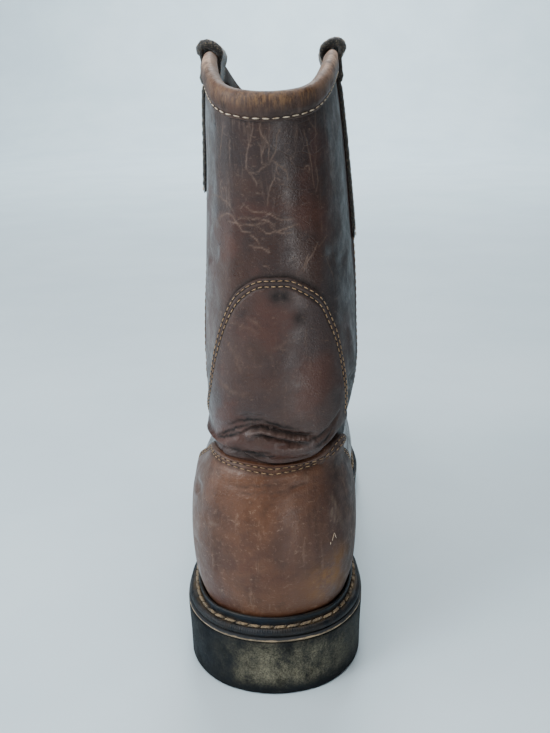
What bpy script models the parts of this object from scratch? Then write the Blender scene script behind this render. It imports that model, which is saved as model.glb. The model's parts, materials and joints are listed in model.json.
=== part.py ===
"""Western work boot for the left foot, as the pieces that a maker joins.

Metres, +Z up. The toe points along +Y, and the medial side lies towards +X.
The upper is one function of two numbers: how far up the boot a point lies, and
how far round it. Every piece that touches the upper is cut from that function.
"""

import functools
import math

import bmesh
import bpy
from mathutils import Vector

# Sole sizes, with the ball's width measured on its slant
SOLE_LENGTH = 0.312
HEEL_WIDTH = 0.087
BALL_WIDTH = 0.112
HEEL_STACK = 0.0283
FOREFOOT_STACK = 0.0125
TOE_SPRING = 0.010
HEEL_LENGTH = 0.078
BREAST_SLOPE = 0.0015
SIDE_FLARE = 0.0017
EDGE_ROUND = 0.0012

# Lugs of the tread
LUG_DEPTH = 0.0035
LUG_GROOVE = 0.0042
LUG_PITCH = 0.0135
TREAD_BORDER = 0.011
TREAD_END = 0.95

# Layers between the rubber and the leather
MIDSOLE = 0.0018
MIDSOLE_INSET = 0.0013
WELT = 0.0036
WELT_INSET = 0.0012
WELT_SHOULDER = 0.0026
WELT_EDGE = (0.45, 0.85)
RIB_HEIGHT = 0.0042
RIB_WIDTH = 0.0020
RIB_ROOT = 0.0016
INSOLE = 0.0040

# Leather
LEATHER = 0.0021
OVERLAY = 0.0016
SHAFT_HEIGHT = 0.2333
SHAFT_WIDTH = 0.074
COLLAR_RISE = 0.0205
COLLAR_BAND = 0.0115
COLLAR_LEATHER = 0.0012
COLLAR_PADDING = 0.0004

# Pull straps
STRAP_WIDTH = 0.0255
STRAP_THICKNESS = 0.0020
STRAP_LOOP = 0.0030
STRAP_PUFF = 0.0022
STRAP_INSIDE = 0.030
STRAP_LEG_LATERAL = 0.060
STRAP_LEG_MEDIAL = 0.082
STRAP_POINTS = 5
STRAP_ROWS = 7
STRAP_CLIMB = (0.0144, 0.0120)

# Clearance between pieces that touch, and the room that flat facets need
# where two curved pieces lie face to face
GAP = 0.0003
FACET_ROOM = 0.0004
INSOLE_ROOM = 0.0004

# Plan of the sole: share of the length, the width that the row follows, and
# the reach to the lateral and the medial side as shares of that width
SOLE_PLAN = [
    (0.020, HEEL_WIDTH, 0.261, 0.261),
    (0.053, HEEL_WIDTH, 0.388, 0.388),
    (0.103, HEEL_WIDTH, 0.476, 0.476),
    (0.154, HEEL_WIDTH, 0.500, 0.500),
    (0.224, HEEL_WIDTH, 0.494, 0.486),
    (0.320, HEEL_WIDTH, 0.474, 0.431),
    (0.433, BALL_WIDTH, 0.394, 0.306),
    (0.545, BALL_WIDTH, 0.463, 0.352),
    (0.657, BALL_WIDTH, 0.509, 0.420),
    (0.753, BALL_WIDTH, 0.493, 0.457),
    (0.849, BALL_WIDTH, 0.428, 0.431),
    (0.929, BALL_WIDTH, 0.314, 0.336),
    (0.974, BALL_WIDTH, 0.194, 0.220),
]

# Outsole's side: inset as a share of the flare, and share of the height
SOLE_SIDE = [(EDGE_ROUND / SIDE_FLARE, 0.0), (0.0, 0.05), (0.3, 0.45), (1.0, 1.0)]

# Side view of the sole, as shares of its length
SHANK_BACK = 0.190
SHANK_FRONT = 0.615
SPRING_START = 0.745

# Stations along each ring of the upper, from its back to its front
STATIONS = (0.03, 0.15, 0.35, 0.55, 0.75, 0.92)
HEEL_STATIONS = 3

# Rings of the foot, bottom to top: back_y and front_y are shares of the sole's
# length, back_rise and front_rise of the shaft's height, follow says how much
# the ring follows the sole's curve, and the reach to each side is a share of
# the heel's width at the first three stations and of the ball's at the others
FOOT_RINGS = [
    # back_y, back_rise, front_y, front_rise, follow, lateral reach, medial reach
    (0.032, 0.000, 0.974, -0.03, 1.00,
     (0.256, 0.382, 0.367, 0.378, 0.400, 0.274), (0.256, 0.382, 0.312, 0.308, 0.390, 0.290)),
    (0.023, 0.050, 0.985, 0.015, 1.00,
     (0.285, 0.423, 0.396, 0.396, 0.413, 0.280), (0.285, 0.423, 0.347, 0.331, 0.406, 0.300)),
    (0.018, 0.101, 0.984, 0.066, 0.85,
     (0.294, 0.438, 0.412, 0.387, 0.398, 0.268), (0.294, 0.438, 0.377, 0.346, 0.391, 0.288)),
    (0.019, 0.152, 0.962, 0.117, 0.60,
     (0.294, 0.440, 0.416, 0.363, 0.366, 0.244), (0.294, 0.440, 0.396, 0.341, 0.358, 0.258)),
    (0.025, 0.203, 0.917, 0.152, 0.30,
     (0.285, 0.432, 0.411, 0.340, 0.317, 0.214), (0.285, 0.432, 0.401, 0.328, 0.306, 0.218)),
    (0.033, 0.242, 0.840, 0.173, 0.10,
     (0.276, 0.414, 0.408, 0.323, 0.289, 0.177), (0.276, 0.414, 0.400, 0.315, 0.272, 0.172)),
    (0.041, 0.276, 0.763, 0.195, 0.00,
     (0.260, 0.391, 0.402, 0.302, 0.263, 0.151), (0.260, 0.391, 0.397, 0.297, 0.246, 0.147)),
    (0.048, 0.302, 0.686, 0.223, 0.00,
     (0.243, 0.350, 0.362, 0.281, 0.243, 0.137), (0.243, 0.350, 0.362, 0.278, 0.238, 0.134)),
    (0.055, 0.323, 0.609, 0.268, 0.00,
     (0.230, 0.338, 0.357, 0.273, 0.236, 0.133), (0.230, 0.338, 0.357, 0.272, 0.232, 0.132)),
    (0.052, 0.341, 0.538, 0.328, 0.00,
     (0.228, 0.342, 0.372, 0.287, 0.246, 0.144), (0.228, 0.342, 0.372, 0.287, 0.245, 0.142)),
]

# Rings of the shaft: reach and lean are shares of the shaft's width, and the
# lean towards the medial side starts in the last rings of the foot
SHAFT_RINGS = [
    # back_y, back_rise, front_y, front_rise, reach, lean
    (0.044, 0.362, 0.487, 0.392, 0.458, 0.045),
    (0.039, 0.400, 0.455, 0.456, 0.480, 0.050),
    (0.040, 0.452, 0.441, 0.520, 0.487, 0.055),
    (0.046, 0.529, 0.439, 0.598, 0.480, 0.055),
    (0.050, 0.623, 0.449, 0.683, 0.466, 0.055),
    (0.051, 0.730, 0.462, 0.772, 0.447, 0.050),
    (0.047, 0.846, 0.476, 0.862, 0.422, 0.036),
    (0.039, 0.932, 0.487, 0.918, 0.402, 0.022),
    (0.035, 0.975, 0.492, 0.946, 0.382, 0.018),
    (0.034, 1.000, 0.494, 0.955, 0.376, 0.018),
]
FOOT_LEAN = (0.010, 0.030, 0.040)
SHAFT_OVAL = (0.50, 0.82, 0.98, 1.00, 0.87, 0.54)
COLLAR_RISE_RINGS = 6

# Steps over which the upper's slopes are measured
RING_STEP = 0.08
TURN_STEP = 0.006

# Counter: share of the way round, and its top edge as a share of the shaft's
# height, from the back seam to its front tip
COUNTER_EDGE = [
    (0.00, 0.322),
    (0.12, 0.322),
    (0.22, 0.312),
    (0.31, 0.262),
    (0.38, 0.175),
    (0.43, 0.080),
    (0.455, 0.035),
]
COUNTER_FADE = 0.02
COUNTER_ROWS = 8

# Back panel: how far round it reaches on each side, and the heights of its
# edges as shares of the shaft's height
PANEL_LATERAL = 0.366
PANEL_MEDIAL = 0.262
PANEL_FOOT = 0.341
PANEL_LIFT_LATERAL = 0.010
PANEL_LIFT_MEDIAL = 0.042
PANEL_EDGE = [
    # share of the reach, top edge on the lateral side, on the medial side
    (0.00, 0.690, 0.690),
    (0.15, 0.685, 0.688),
    (0.30, 0.658, 0.674),
    (0.42, 0.615, 0.658),
    (0.52, 0.567, 0.638),
    (0.62, 0.513, 0.606),
    (0.72, 0.461, 0.570),
    (0.80, 0.430, 0.534),
    (0.88, 0.402, 0.492),
    (0.95, 0.380, 0.448),
    (1.00, 0.364, 0.402),
]
PANEL_COLUMNS = 22
PANEL_ROWS = 11

# Mesh density: stations along each side, drawn together at heel and toe
SIDE_STATIONS = 24
END_CROWDING = 0.045
END_FLAT = 0.012
FOOT_ROWS = 8
ANKLE_ROWS = 13
SHAFT_ROWS = 7
ANKLE_RINGS = (6.0, 12.5)


def smooth_between(places, values, x):
    """A cubic curve through the values, flat beyond its ends."""
    if x <= places[0]:
        return values[0]
    if x >= places[-1]:
        return values[-1]
    i = max(k for k in range(len(places) - 1) if places[k] <= x)
    slopes = []
    for k in (i, i + 1):
        before, after = max(k - 1, 0), min(k + 1, len(places) - 1)
        slopes.append((values[after] - values[before]) / (places[after] - places[before]))
    width = places[i + 1] - places[i]
    s = (x - places[i]) / width
    start = (2 * s**3 - 3 * s**2 + 1) * values[i] + (s**3 - 2 * s**2 + s) * width * slopes[0]
    end = (3 * s**2 - 2 * s**3) * values[i + 1] + (s**3 - s**2) * width * slopes[1]
    return start + end


def ease(x):
    """0 to 1 with soft ends."""
    x = min(max(x, 0.0), 1.0)
    return x * x * (3 - 2 * x)


def mix(a, b, share):
    return a + (b - a) * share


def side_turns():
    """Places along one side from heel to toe, one of them at the heel's breast."""
    spread = [i / SIDE_STATIONS for i in range(SIDE_STATIONS + 1)]
    turns = [share - END_CROWDING * math.sin(2 * math.pi * share) for share in spread]
    breast = turn_at(HEEL_LENGTH)
    nearest = min(range(len(turns)), key=lambda i: abs(turns[i] - breast))
    turns[nearest] = breast
    return turns


def turn_at(y):
    """The turn at which the sole's outline passes a distance from its back."""
    return math.acos(1 - 2 * y / SOLE_LENGTH) / math.pi


# Sole outline and side

def sole_reach(side, along):
    """Half width of the sole at a share of its length, lateral for side -1."""
    column = 2 if side < 0 else 3
    turns = [math.acos(1 - 2 * row[0]) / math.pi for row in SOLE_PLAN]
    widths = [row[1] * row[column] / end_round(row[0]) for row in SOLE_PLAN]
    turn = math.acos(1 - 2 * along) / math.pi
    return smooth_between(turns, widths, turn) * end_round(along)


def end_round(share):
    """1 at the middle of a length and 0 at its ends, round as a circle."""
    return 2 * math.sqrt(max(share * (1 - share), 0.0))


def sole_edge(side, turn, inset):
    """A point of the sole's outline, moved in by inset, on the floor."""
    def at(t):
        along = (1 - math.cos(math.pi * t)) / 2
        return Vector((side * sole_reach(side, along), SOLE_LENGTH * along, 0))
    step = 0.004
    tangent = (at(min(turn + step, 1)) - at(max(turn - step, 0))).normalized()
    inward = Vector((-side * tangent.y, side * tangent.x, 0))
    return at(turn) + inward * inset


def sole_top(y):
    """Height of the rubber's upper face."""
    along = y / SOLE_LENGTH
    drop = ease((along - SHANK_BACK) / (SHANK_FRONT - SHANK_BACK))
    spring = max(along - SPRING_START, 0) / (1 - SPRING_START)
    return mix(HEEL_STACK, FOREFOOT_STACK, drop) + TOE_SPRING * spring**2


def sole_bottom(y):
    """Height of the tread: the heel block, then one thickness to the toe."""
    block = 1 - min(max((y - HEEL_LENGTH) / BREAST_SLOPE, 0), 1)
    return (sole_top(y) - FOREFOOT_STACK) * (1 - block)


def midsole_bottom(y):
    return sole_top(y) + GAP


def welt_bottom(y):
    return midsole_bottom(y) + MIDSOLE + GAP


def welt_top(y):
    return welt_bottom(y) + WELT


def leather_floor(y):
    """Height at which the upper stands on the welt."""
    return welt_top(y) + GAP


# The upper's surface

def ring_values():
    """One row of plain numbers for each ring of the upper, bottom to top."""
    rows = []
    heel = leather_floor(0)
    for back_y, back_rise, front_y, front_rise, follow, lateral, medial in FOOT_RINGS:
        widths = [HEEL_WIDTH] * HEEL_STATIONS + [BALL_WIDTH] * (len(STATIONS) - HEEL_STATIONS)
        row = [back_y * SOLE_LENGTH, heel + back_rise * SHAFT_HEIGHT]
        row += [front_y * SOLE_LENGTH, heel + front_rise * SHAFT_HEIGHT, follow]
        for reach in (lateral, medial):
            row += [r * w / end_round(q) for r, w, q in zip(reach, widths, STATIONS)]
        rows.append(row + [0.0])
    for row, lean in zip(rows[-len(FOOT_LEAN):], FOOT_LEAN):
        row[-1] = lean * SHAFT_WIDTH
    for back_y, back_rise, front_y, front_rise, reach, lean in SHAFT_RINGS:
        row = [back_y * SOLE_LENGTH, heel + back_rise * SHAFT_HEIGHT]
        row += [front_y * SOLE_LENGTH, heel + front_rise * SHAFT_HEIGHT, 0]
        oval = [reach * SHAFT_WIDTH * s / end_round(q) for s, q in zip(SHAFT_OVAL, STATIONS)]
        rows.append(row + oval + oval + [lean * SHAFT_WIDTH])
    return rows


RINGS = ring_values()
TOP_RING = len(RINGS) - 1
STATION_TURNS = [math.acos(1 - 2 * q) / math.pi for q in STATIONS]


@functools.lru_cache(maxsize=None)
def ring_at(ring):
    """The ring's numbers between two rows of the table, on a smooth curve."""
    ring = min(max(ring, 0), TOP_RING)
    i = min(int(ring), TOP_RING - 1)
    s = ring - i
    before, start, end, after = (RINGS[min(max(k, 0), TOP_RING)] for k in range(i - 1, i + 3))
    values = []
    for a, b, c, d in zip(before, start, end, after):
        bend = (2 * a - 5 * b + 4 * c - d) * s**2 + (3 * b - a - 3 * c + d) * s**3
        values.append(b + ((c - a) * s + bend) / 2)
    return values


def ring_for_rise(rise):
    """The ring whose back lies at a share of the shaft's height."""
    height = leather_floor(0) + rise * SHAFT_HEIGHT
    low, high = 0.0, float(TOP_RING)
    for _ in range(30):
        middle = (low + high) / 2
        if ring_at(middle)[1] < height:
            low = middle
        else:
            high = middle
    return (low + high) / 2


def skin_point(ring, around):
    """Around runs from 0 at the back to -1 or 1 at the front, lateral below 0."""
    if around > 1:
        around -= 2
    if around < -1:
        around += 2
    values = ring_at(ring)
    back_y, back_z, front_y, front_z, follow = values[:5]
    count = len(STATIONS)
    reach = values[5:5 + count] if around < 0 else values[5 + count:5 + 2 * count]
    turn = abs(around)
    share = (1 - math.cos(math.pi * turn)) / 2
    half = smooth_between(STATION_TURNS, reach, turn) * math.sin(math.pi * turn)
    y = mix(back_y, front_y, share)
    flat = mix(back_z, front_z, share)
    lift = mix(back_z - leather_floor(back_y), front_z - leather_floor(front_y), share)
    if ring <= 0:
        lift = 0
    z = mix(flat, leather_floor(y) + lift, follow)
    peak = ease((ring - TOP_RING + COLLAR_RISE_RINGS) / COLLAR_RISE_RINGS)
    z += COLLAR_RISE * peak * math.sin(math.pi * share)
    return Vector((math.copysign(half, around) + values[-1], y, z))


def skin_up(ring, around):
    """The way up along the leather, with its rate for each ring."""
    low, high = max(ring - RING_STEP, 0), min(ring + RING_STEP, TOP_RING)
    return (skin_point(high, around) - skin_point(low, around)) / (high - low)


def skin(ring, around, lift=0.0, level=False):
    """A point of the upper's outer face, lifted along its outward normal."""
    across = skin_point(ring, around + TURN_STEP) - skin_point(ring, around - TURN_STEP)
    outward = across.cross(skin_up(ring, around))
    if level:
        outward.z = 0
    return skin_point(ring, around) + outward.normalized() * lift


@functools.lru_cache(maxsize=None)
def below_rim(around, drop):
    """The ring that lies a distance under the leather's top edge."""
    step, ring, length = 0.02, float(TOP_RING), 0.0
    here = skin_point(ring, around)
    while length < drop:
        below = skin_point(ring - step, around)
        length += (here - below).length
        here, ring = below, ring - step
    return ring


# Mesh helpers

def clear_scene():
    for thing in list(bpy.data.objects):
        bpy.data.objects.remove(thing)


def finish_material(name, colour, roughness):
    material = bpy.data.materials.new(name)
    material.use_nodes = True
    shader = material.node_tree.nodes["Principled BSDF"]
    shader.inputs["Base Color"].default_value = (*colour, 1)
    shader.inputs["Roughness"].default_value = roughness
    shader.inputs["Metallic"].default_value = 0.0
    return material


def add_sheet(mesh, columns, rows, place):
    """A grid whose points are placed by column and row number."""
    made = bmesh.ops.create_grid(mesh, x_segments=columns, y_segments=rows, size=1)
    for vertex in made["verts"]:
        column = round((vertex.co.x + 1) / 2 * columns)
        row = round((vertex.co.y + 1) / 2 * rows)
        vertex.co = place(column, row)


def make_solid(name, loops, material, endless=False):
    """A closed body through closed loops, endless or with its two ends filled."""
    mesh = bmesh.new()
    size, count = len(loops[0]), len(loops)
    spans = count if endless else count - 1
    add_sheet(mesh, size, spans, lambda i, k: loops[k % count][i % size])
    if not endless:
        half = size // 2
        for loop in (loops[0], loops[-1]):
            pairs = [(loop[i], loop[size - 1 - i]) for i in range(half)]
            add_sheet(mesh, half - 1, 1, lambda i, k, pairs=pairs: pairs[i][k])
    bmesh.ops.remove_doubles(mesh, verts=mesh.verts, dist=0.000001)
    bmesh.ops.recalc_face_normals(mesh, faces=mesh.faces)
    bmesh.ops.triangulate(mesh, faces=mesh.faces)
    data = bpy.data.meshes.new(name)
    mesh.to_mesh(data)
    mesh.free()
    piece = bpy.data.objects.new(name, data)
    piece.data.materials.append(material)
    bpy.context.collection.objects.link(piece)
    return piece


def turns_round():
    """Places round the upper, once about, from the front by the lateral side."""
    turns = side_turns()
    return [-turn for turn in turns[:0:-1]] + turns[:-1]


# Sole

def loop_turns(breast=False):
    """Places along one side of a flat piece, which ends just short of the middle."""
    turns = side_turns()
    turns[0], turns[-1] = END_FLAT, 1 - END_FLAT
    if breast:
        turns.append(turn_at(HEEL_LENGTH + BREAST_SLOPE))
    return sorted(turns)


def outline_loop(inset, height, breast=False):
    """A closed loop round the sole: the lateral side out, the medial back."""
    loop = []
    turns = loop_turns(breast)
    for side, places in ((-1, turns), (1, turns[::-1])):
        for turn in places:
            point = sole_edge(side, turn, inset)
            point.z = height(sole_edge(side, turn, 0).y)
            loop.append(point)
    return loop


def sole_level(share):
    """Height along the boot, at a share of the way from tread to midsole."""
    return lambda y: mix(sole_bottom(y), sole_top(y), share)


def make_outsole():
    rubber = finish_material("outsole", (0.035, 0.038, 0.040), 0.75)
    loops = []
    for flare, share in SOLE_SIDE:
        loops.append(outline_loop(flare * SIDE_FLARE, sole_level(share), breast=True))
    outsole = make_solid("outsole", loops, rubber)
    cut_tread(outsole, "grooves across", across_grooves())
    cut_tread(outsole, "grooves along", along_grooves())


def across_grooves():
    """Centre, half width in x, y of the middle: one row for each groove."""
    grooves = []
    y = SHANK_FRONT * SOLE_LENGTH
    while y < TREAD_END * SOLE_LENGTH:
        grooves.append((0, BALL_WIDTH, y, LUG_GROOVE / 2))
        y += LUG_PITCH
    y = HEEL_LENGTH - TREAD_BORDER
    while y > 1.5 * TREAD_BORDER:
        reach = sole_reach(1, y / SOLE_LENGTH) - TREAD_BORDER
        grooves.append((0, reach, y, LUG_GROOVE / 2))
        y -= LUG_PITCH
    return grooves


def along_grooves():
    """The channel down the middle of the forefoot and of the heel."""
    start, end = SHANK_FRONT * SOLE_LENGTH, TREAD_END * SOLE_LENGTH - LUG_GROOVE
    forefoot = (0, LUG_GROOVE / 2, (start + end) / 2, (end - start) / 2)
    back, breast = 1.5 * TREAD_BORDER, HEEL_LENGTH - TREAD_BORDER + LUG_GROOVE / 2
    heel = (0, LUG_GROOVE / 2, (back + breast) / 2, (breast - back) / 2)
    return [forefoot, heel]


def cut_tread(outsole, name, grooves):
    """Cuts grooves LUG_DEPTH deep, each floor following the tread."""
    mesh = bmesh.new()
    for x, half_x, y, half_y in grooves:
        made = bmesh.ops.create_cube(mesh, size=2)
        bmesh.ops.scale(mesh, verts=made["verts"], vec=(half_x, half_y, 1))
        bmesh.ops.translate(mesh, verts=made["verts"], vec=(x, y, 0))
        for vertex in made["verts"]:
            floor = sole_bottom(vertex.co.y) + LUG_DEPTH
            vertex.co.z = floor if vertex.co.z > 0 else -LUG_DEPTH
    data = bpy.data.meshes.new(name)
    mesh.to_mesh(data)
    mesh.free()
    cutter = bpy.data.objects.new(name, data)
    bpy.context.collection.objects.link(cutter)
    cutter.hide_render = True
    cutter.display_type = "WIRE"
    cut = outsole.modifiers.new(name, "BOOLEAN")
    cut.operation = "DIFFERENCE"
    cut.object = cutter


def make_midsole():
    tan = finish_material("midsole", (0.30, 0.24, 0.18), 0.8)
    loops = [
        outline_loop(MIDSOLE_INSET, midsole_bottom),
        outline_loop(MIDSOLE_INSET, lambda y: midsole_bottom(y) + MIDSOLE),
    ]
    make_solid("midsole", loops, tan)


def feather_loop(out, height, ring=0.0, cover=False):
    """A loop round the upper's lower edge, moved out level by a distance."""
    loop = []
    turns = loop_turns()
    for side, places in ((-1, turns), (1, turns[::-1])):
        for turn in places:
            extra = counter_cover(turn) if cover else 0
            base = skin(ring, side * turn, out + extra, level=True)
            base.z = height(skin_point(0, side * turn).y)
            loop.append(base)
    return loop


def counter_cover(turn):
    """Thickness of the counter over the upper, fading past its front tip."""
    tip = COUNTER_EDGE[-1][0]
    return (OVERLAY + GAP + FACET_ROOM) * (1 - ease((turn - tip) / COUNTER_FADE))


def make_welt():
    """The strip round the boot, with the storm rib against the leather."""
    black = finish_material("welt", (0.045, 0.055, 0.065), 0.6)
    rib_ring = RIB_HEIGHT / (SHAFT_HEIGHT * FOOT_RINGS[1][1])
    rib_room = GAP + FACET_ROOM
    rib_foot = rib_room + RIB_WIDTH
    low, high = WELT_EDGE
    loops = [
        outline_loop(WELT_INSET, welt_bottom),
        outline_loop(WELT_INSET, lambda y: welt_bottom(y) + low * WELT),
        outline_loop(WELT_SHOULDER, lambda y: welt_bottom(y) + high * WELT),
        feather_loop(rib_foot + RIB_ROOT, welt_top, cover=True),
        feather_loop(rib_foot, lambda y: welt_top(y) + RIB_HEIGHT / 6, rib_ring / 3, True),
        feather_loop(rib_foot, lambda y: welt_top(y) + RIB_HEIGHT, rib_ring, True),
        feather_loop(rib_room, lambda y: welt_top(y) + RIB_HEIGHT, rib_ring, True),
        feather_loop(rib_room, welt_top, cover=True),
        feather_loop(-LEATHER, welt_top),
        feather_loop(-LEATHER, welt_bottom),
    ]
    make_solid("welt", loops, black, endless=True)


def make_insole():
    felt = finish_material("insole", (0.10, 0.075, 0.055), 0.9)
    inset = -LEATHER - INSOLE_ROOM
    loops = [
        feather_loop(inset, welt_bottom),
        feather_loop(inset, lambda y: leather_floor(y) + INSOLE),
    ]
    make_solid("insole", loops, felt)


# Leather

def make_upper():
    leather = finish_material("upper", (0.075, 0.040, 0.032), 0.45)
    low, high = ANKLE_RINGS
    rings = [low * k / FOOT_ROWS for k in range(FOOT_ROWS)]
    rings += [mix(low, high, k / ANKLE_ROWS) for k in range(ANKLE_ROWS)]
    rings += [mix(high, TOP_RING, k / SHAFT_ROWS) for k in range(SHAFT_ROWS + 1)]
    turns = turns_round()
    loops = []
    for ring in rings:
        loops.append([skin(ring, turn, 0.0, level=ring == 0) for turn in turns])
    for ring in reversed(rings):
        loops.append([skin(ring, turn, -LEATHER, level=ring == 0) for turn in turns])
    make_solid("upper", loops, leather, endless=True)


def lined_patch(columns, rows, place):
    """Loops over a patch of leather: its outer face up, its inner face down."""
    face = GAP + FACET_ROOM
    loops = []
    for i in range(columns + 1):
        outer = [skin(*place(i, k), face + OVERLAY) for k in range(rows + 1)]
        inner = [skin(*place(i, k), face) for k in range(rows, -1, -1)]
        loops.append(outer + inner)
    return loops


def make_counter():
    leather = finish_material("counter", (0.13, 0.062, 0.040), 0.5)
    turns, edges = [row[0] for row in COUNTER_EDGE], [row[1] for row in COUNTER_EDGE]
    side = [turn for turn in side_turns() if 0 < turn < turns[-1] - 0.01] + [turns[-1]]
    places = [-turn for turn in reversed(side)] + [0] + side

    def place(i, k):
        top = ring_for_rise(smooth_between(turns, edges, abs(places[i])))
        return top * k / COUNTER_ROWS, places[i]

    loops = lined_patch(len(places) - 1, COUNTER_ROWS, place)
    for loop in loops:
        for point in (loop[0], loop[-1]):
            point.z = leather_floor(point.y)
    make_solid("counter", loops, leather)


def make_back_panel():
    leather = finish_material("back_panel", (0.085, 0.042, 0.034), 0.4)
    shares = [row[0] for row in PANEL_EDGE]
    sides = [
        (PANEL_LATERAL, PANEL_LIFT_LATERAL, [row[1] for row in PANEL_EDGE]),
        (PANEL_MEDIAL, PANEL_LIFT_MEDIAL, [row[2] for row in PANEL_EDGE]),
    ]

    def place(i, k):
        across = math.sin(mix(-0.5, 0.5, i / PANEL_COLUMNS) * math.pi)
        reach, lift, edges = sides[across > 0]
        bottom = PANEL_FOOT + lift * across**2
        top = smooth_between(shares, edges, abs(across))
        return ring_for_rise(mix(bottom, top, k / PANEL_ROWS)), across * reach

    make_solid("back_panel", lined_patch(PANEL_COLUMNS, PANEL_ROWS, place), leather)


def make_collar():
    """The folded binding: two thin legs over the leather, joined by a roll."""
    leather = finish_material("collar", (0.22, 0.13, 0.085), 0.6)
    face = GAP + COLLAR_LEATHER
    back = -LEATHER - face
    thick = face + COLLAR_PADDING
    roll = GAP + COLLAR_LEATHER + COLLAR_PADDING
    half = COLLAR_BAND / 2
    shoulder = 0.4 * face
    profile = [
        # drop under the leather's edge, lift from its outer face
        (COLLAR_BAND, GAP),
        (COLLAR_BAND, face),
        (half, thick),
        (0, thick),
        (-0.75 * roll, shoulder),
        (-roll, -LEATHER / 2),
        (-0.75 * roll, -LEATHER - shoulder),
        (0, back - COLLAR_PADDING),
        (half, back - COLLAR_PADDING),
        (COLLAR_BAND, back),
        (COLLAR_BAND, -LEATHER - GAP),
        (-GAP, -LEATHER - GAP),
        (-GAP, GAP),
    ]
    loops = []
    for turn in turns_round():
        up = skin_up(TOP_RING, turn).normalized()
        loop = []
        for drop, lift in profile:
            point = skin(below_rim(turn, drop), turn, lift)
            loop.append(point + up * max(-drop, 0))
        loops.append(loop)
    make_solid("collar", loops, leather, endless=True)


def strap_path(leg):
    """Drop and lift along the strap: up outside, over the collar, down inside."""
    wide = GAP + COLLAR_LEATHER + COLLAR_PADDING + GAP
    far = -LEATHER - wide
    start, end = STRAP_CLIMB
    path = [(mix(leg, start, k / STRAP_ROWS), GAP) for k in range(STRAP_ROWS + 1)]
    path += [(end, wide), (end / 2, wide), (0, wide)]
    middle, half = (wide + far) / 2, (wide - far) / 2
    for k in range(1, 6):
        angle = math.pi * k / 6
        rise = STRAP_LOOP * math.sin(angle) + COLLAR_LEATHER
        puff = STRAP_PUFF * math.sin(angle)
        path.append((-rise, middle + half * math.cos(angle) + puff))
    path += [(0, far), (end / 2, far), (end, far)]
    path += [(start, -LEATHER - GAP), (STRAP_INSIDE, -LEATHER - GAP)]
    return path


def strap_places(turn, path):
    """The strap's face against the boot, and the way out from it, along a path."""
    up = skin_up(TOP_RING, turn).normalized()
    points = []
    for drop, lift in path:
        point = skin(below_rim(turn, drop), turn, lift)
        points.append(point + up * max(-drop, 0))
    outs = []
    across = skin(TOP_RING, turn + 0.02) - skin(TOP_RING, turn - 0.02)
    for k, _ in enumerate(points):
        run = points[min(k + 1, len(points) - 1)] - points[max(k - 1, 0)]
        outs.append(across.cross(run).normalized())
    return points, outs


def make_strap(name, side, leg):
    """A pull strap, several points wide, so that it follows the shaft's curve."""
    leather = finish_material(name, (0.060, 0.035, 0.030), 0.5)
    path = strap_path(leg)
    faces = []
    near, far = (skin_point(TOP_RING, 0.5 + step) for step in (-TURN_STEP, TURN_STEP))
    span = STRAP_WIDTH * TURN_STEP / (far - near).length
    for k in range(STRAP_POINTS):
        turn = side * 0.5 + mix(-span, span, k / (STRAP_POINTS - 1))
        faces.append(strap_places(turn, path))
    loops = []
    for i, _ in enumerate(path):
        inner = [points[i] for points, _ in faces]
        outer = [points[i] + outs[i] * STRAP_THICKNESS for points, outs in faces]
        loops.append(inner + outer[::-1])
    make_solid(name, loops, leather)


def seat_on_origin():
    """Moves every piece so that the boot stands centred on the origin."""
    pieces = [thing for thing in bpy.data.objects if thing.type == "MESH"]
    corners = [v.co for piece in pieces if not piece.hide_render for v in piece.data.vertices]
    low_x, high_x = min(c.x for c in corners), max(c.x for c in corners)
    low_y, high_y = min(c.y for c in corners), max(c.y for c in corners)
    for piece in pieces:
        piece.location = (-(low_x + high_x) / 2, -(low_y + high_y) / 2, 0)


def main():
    clear_scene()
    make_outsole()
    make_midsole()
    make_welt()
    make_insole()
    make_upper()
    make_counter()
    make_back_panel()
    make_collar()
    make_strap("strap_lateral", -1, STRAP_LEG_LATERAL)
    make_strap("strap_medial", 1, STRAP_LEG_MEDIAL)
    seat_on_origin()


main()
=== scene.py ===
"""The looks of a left western work boot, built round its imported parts."""

import json
import math

import bmesh
import bpy
import numpy as np
from mathutils import Matrix, Vector

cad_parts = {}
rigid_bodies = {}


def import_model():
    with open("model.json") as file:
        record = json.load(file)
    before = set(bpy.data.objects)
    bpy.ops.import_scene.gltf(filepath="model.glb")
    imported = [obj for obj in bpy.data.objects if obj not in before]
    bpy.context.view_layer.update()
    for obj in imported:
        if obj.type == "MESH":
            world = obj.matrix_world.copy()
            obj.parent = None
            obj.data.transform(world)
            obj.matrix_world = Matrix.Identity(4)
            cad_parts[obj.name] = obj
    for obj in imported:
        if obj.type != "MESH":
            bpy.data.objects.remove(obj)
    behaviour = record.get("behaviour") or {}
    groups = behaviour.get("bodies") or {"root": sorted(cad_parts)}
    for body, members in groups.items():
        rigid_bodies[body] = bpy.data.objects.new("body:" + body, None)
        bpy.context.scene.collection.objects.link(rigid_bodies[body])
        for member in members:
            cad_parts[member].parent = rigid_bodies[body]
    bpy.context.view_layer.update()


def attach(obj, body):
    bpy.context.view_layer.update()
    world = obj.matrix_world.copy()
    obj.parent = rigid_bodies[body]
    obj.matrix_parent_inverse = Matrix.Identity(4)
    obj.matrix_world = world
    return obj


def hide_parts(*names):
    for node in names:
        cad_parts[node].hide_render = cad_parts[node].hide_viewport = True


for leftover in list(bpy.data.objects):
    bpy.data.objects.remove(leftover)
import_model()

# Where the boot's own coordinates start: the heel's axis and the sole's back
SEAT = np.array([0.0031, -0.1560, 0.0])

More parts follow.
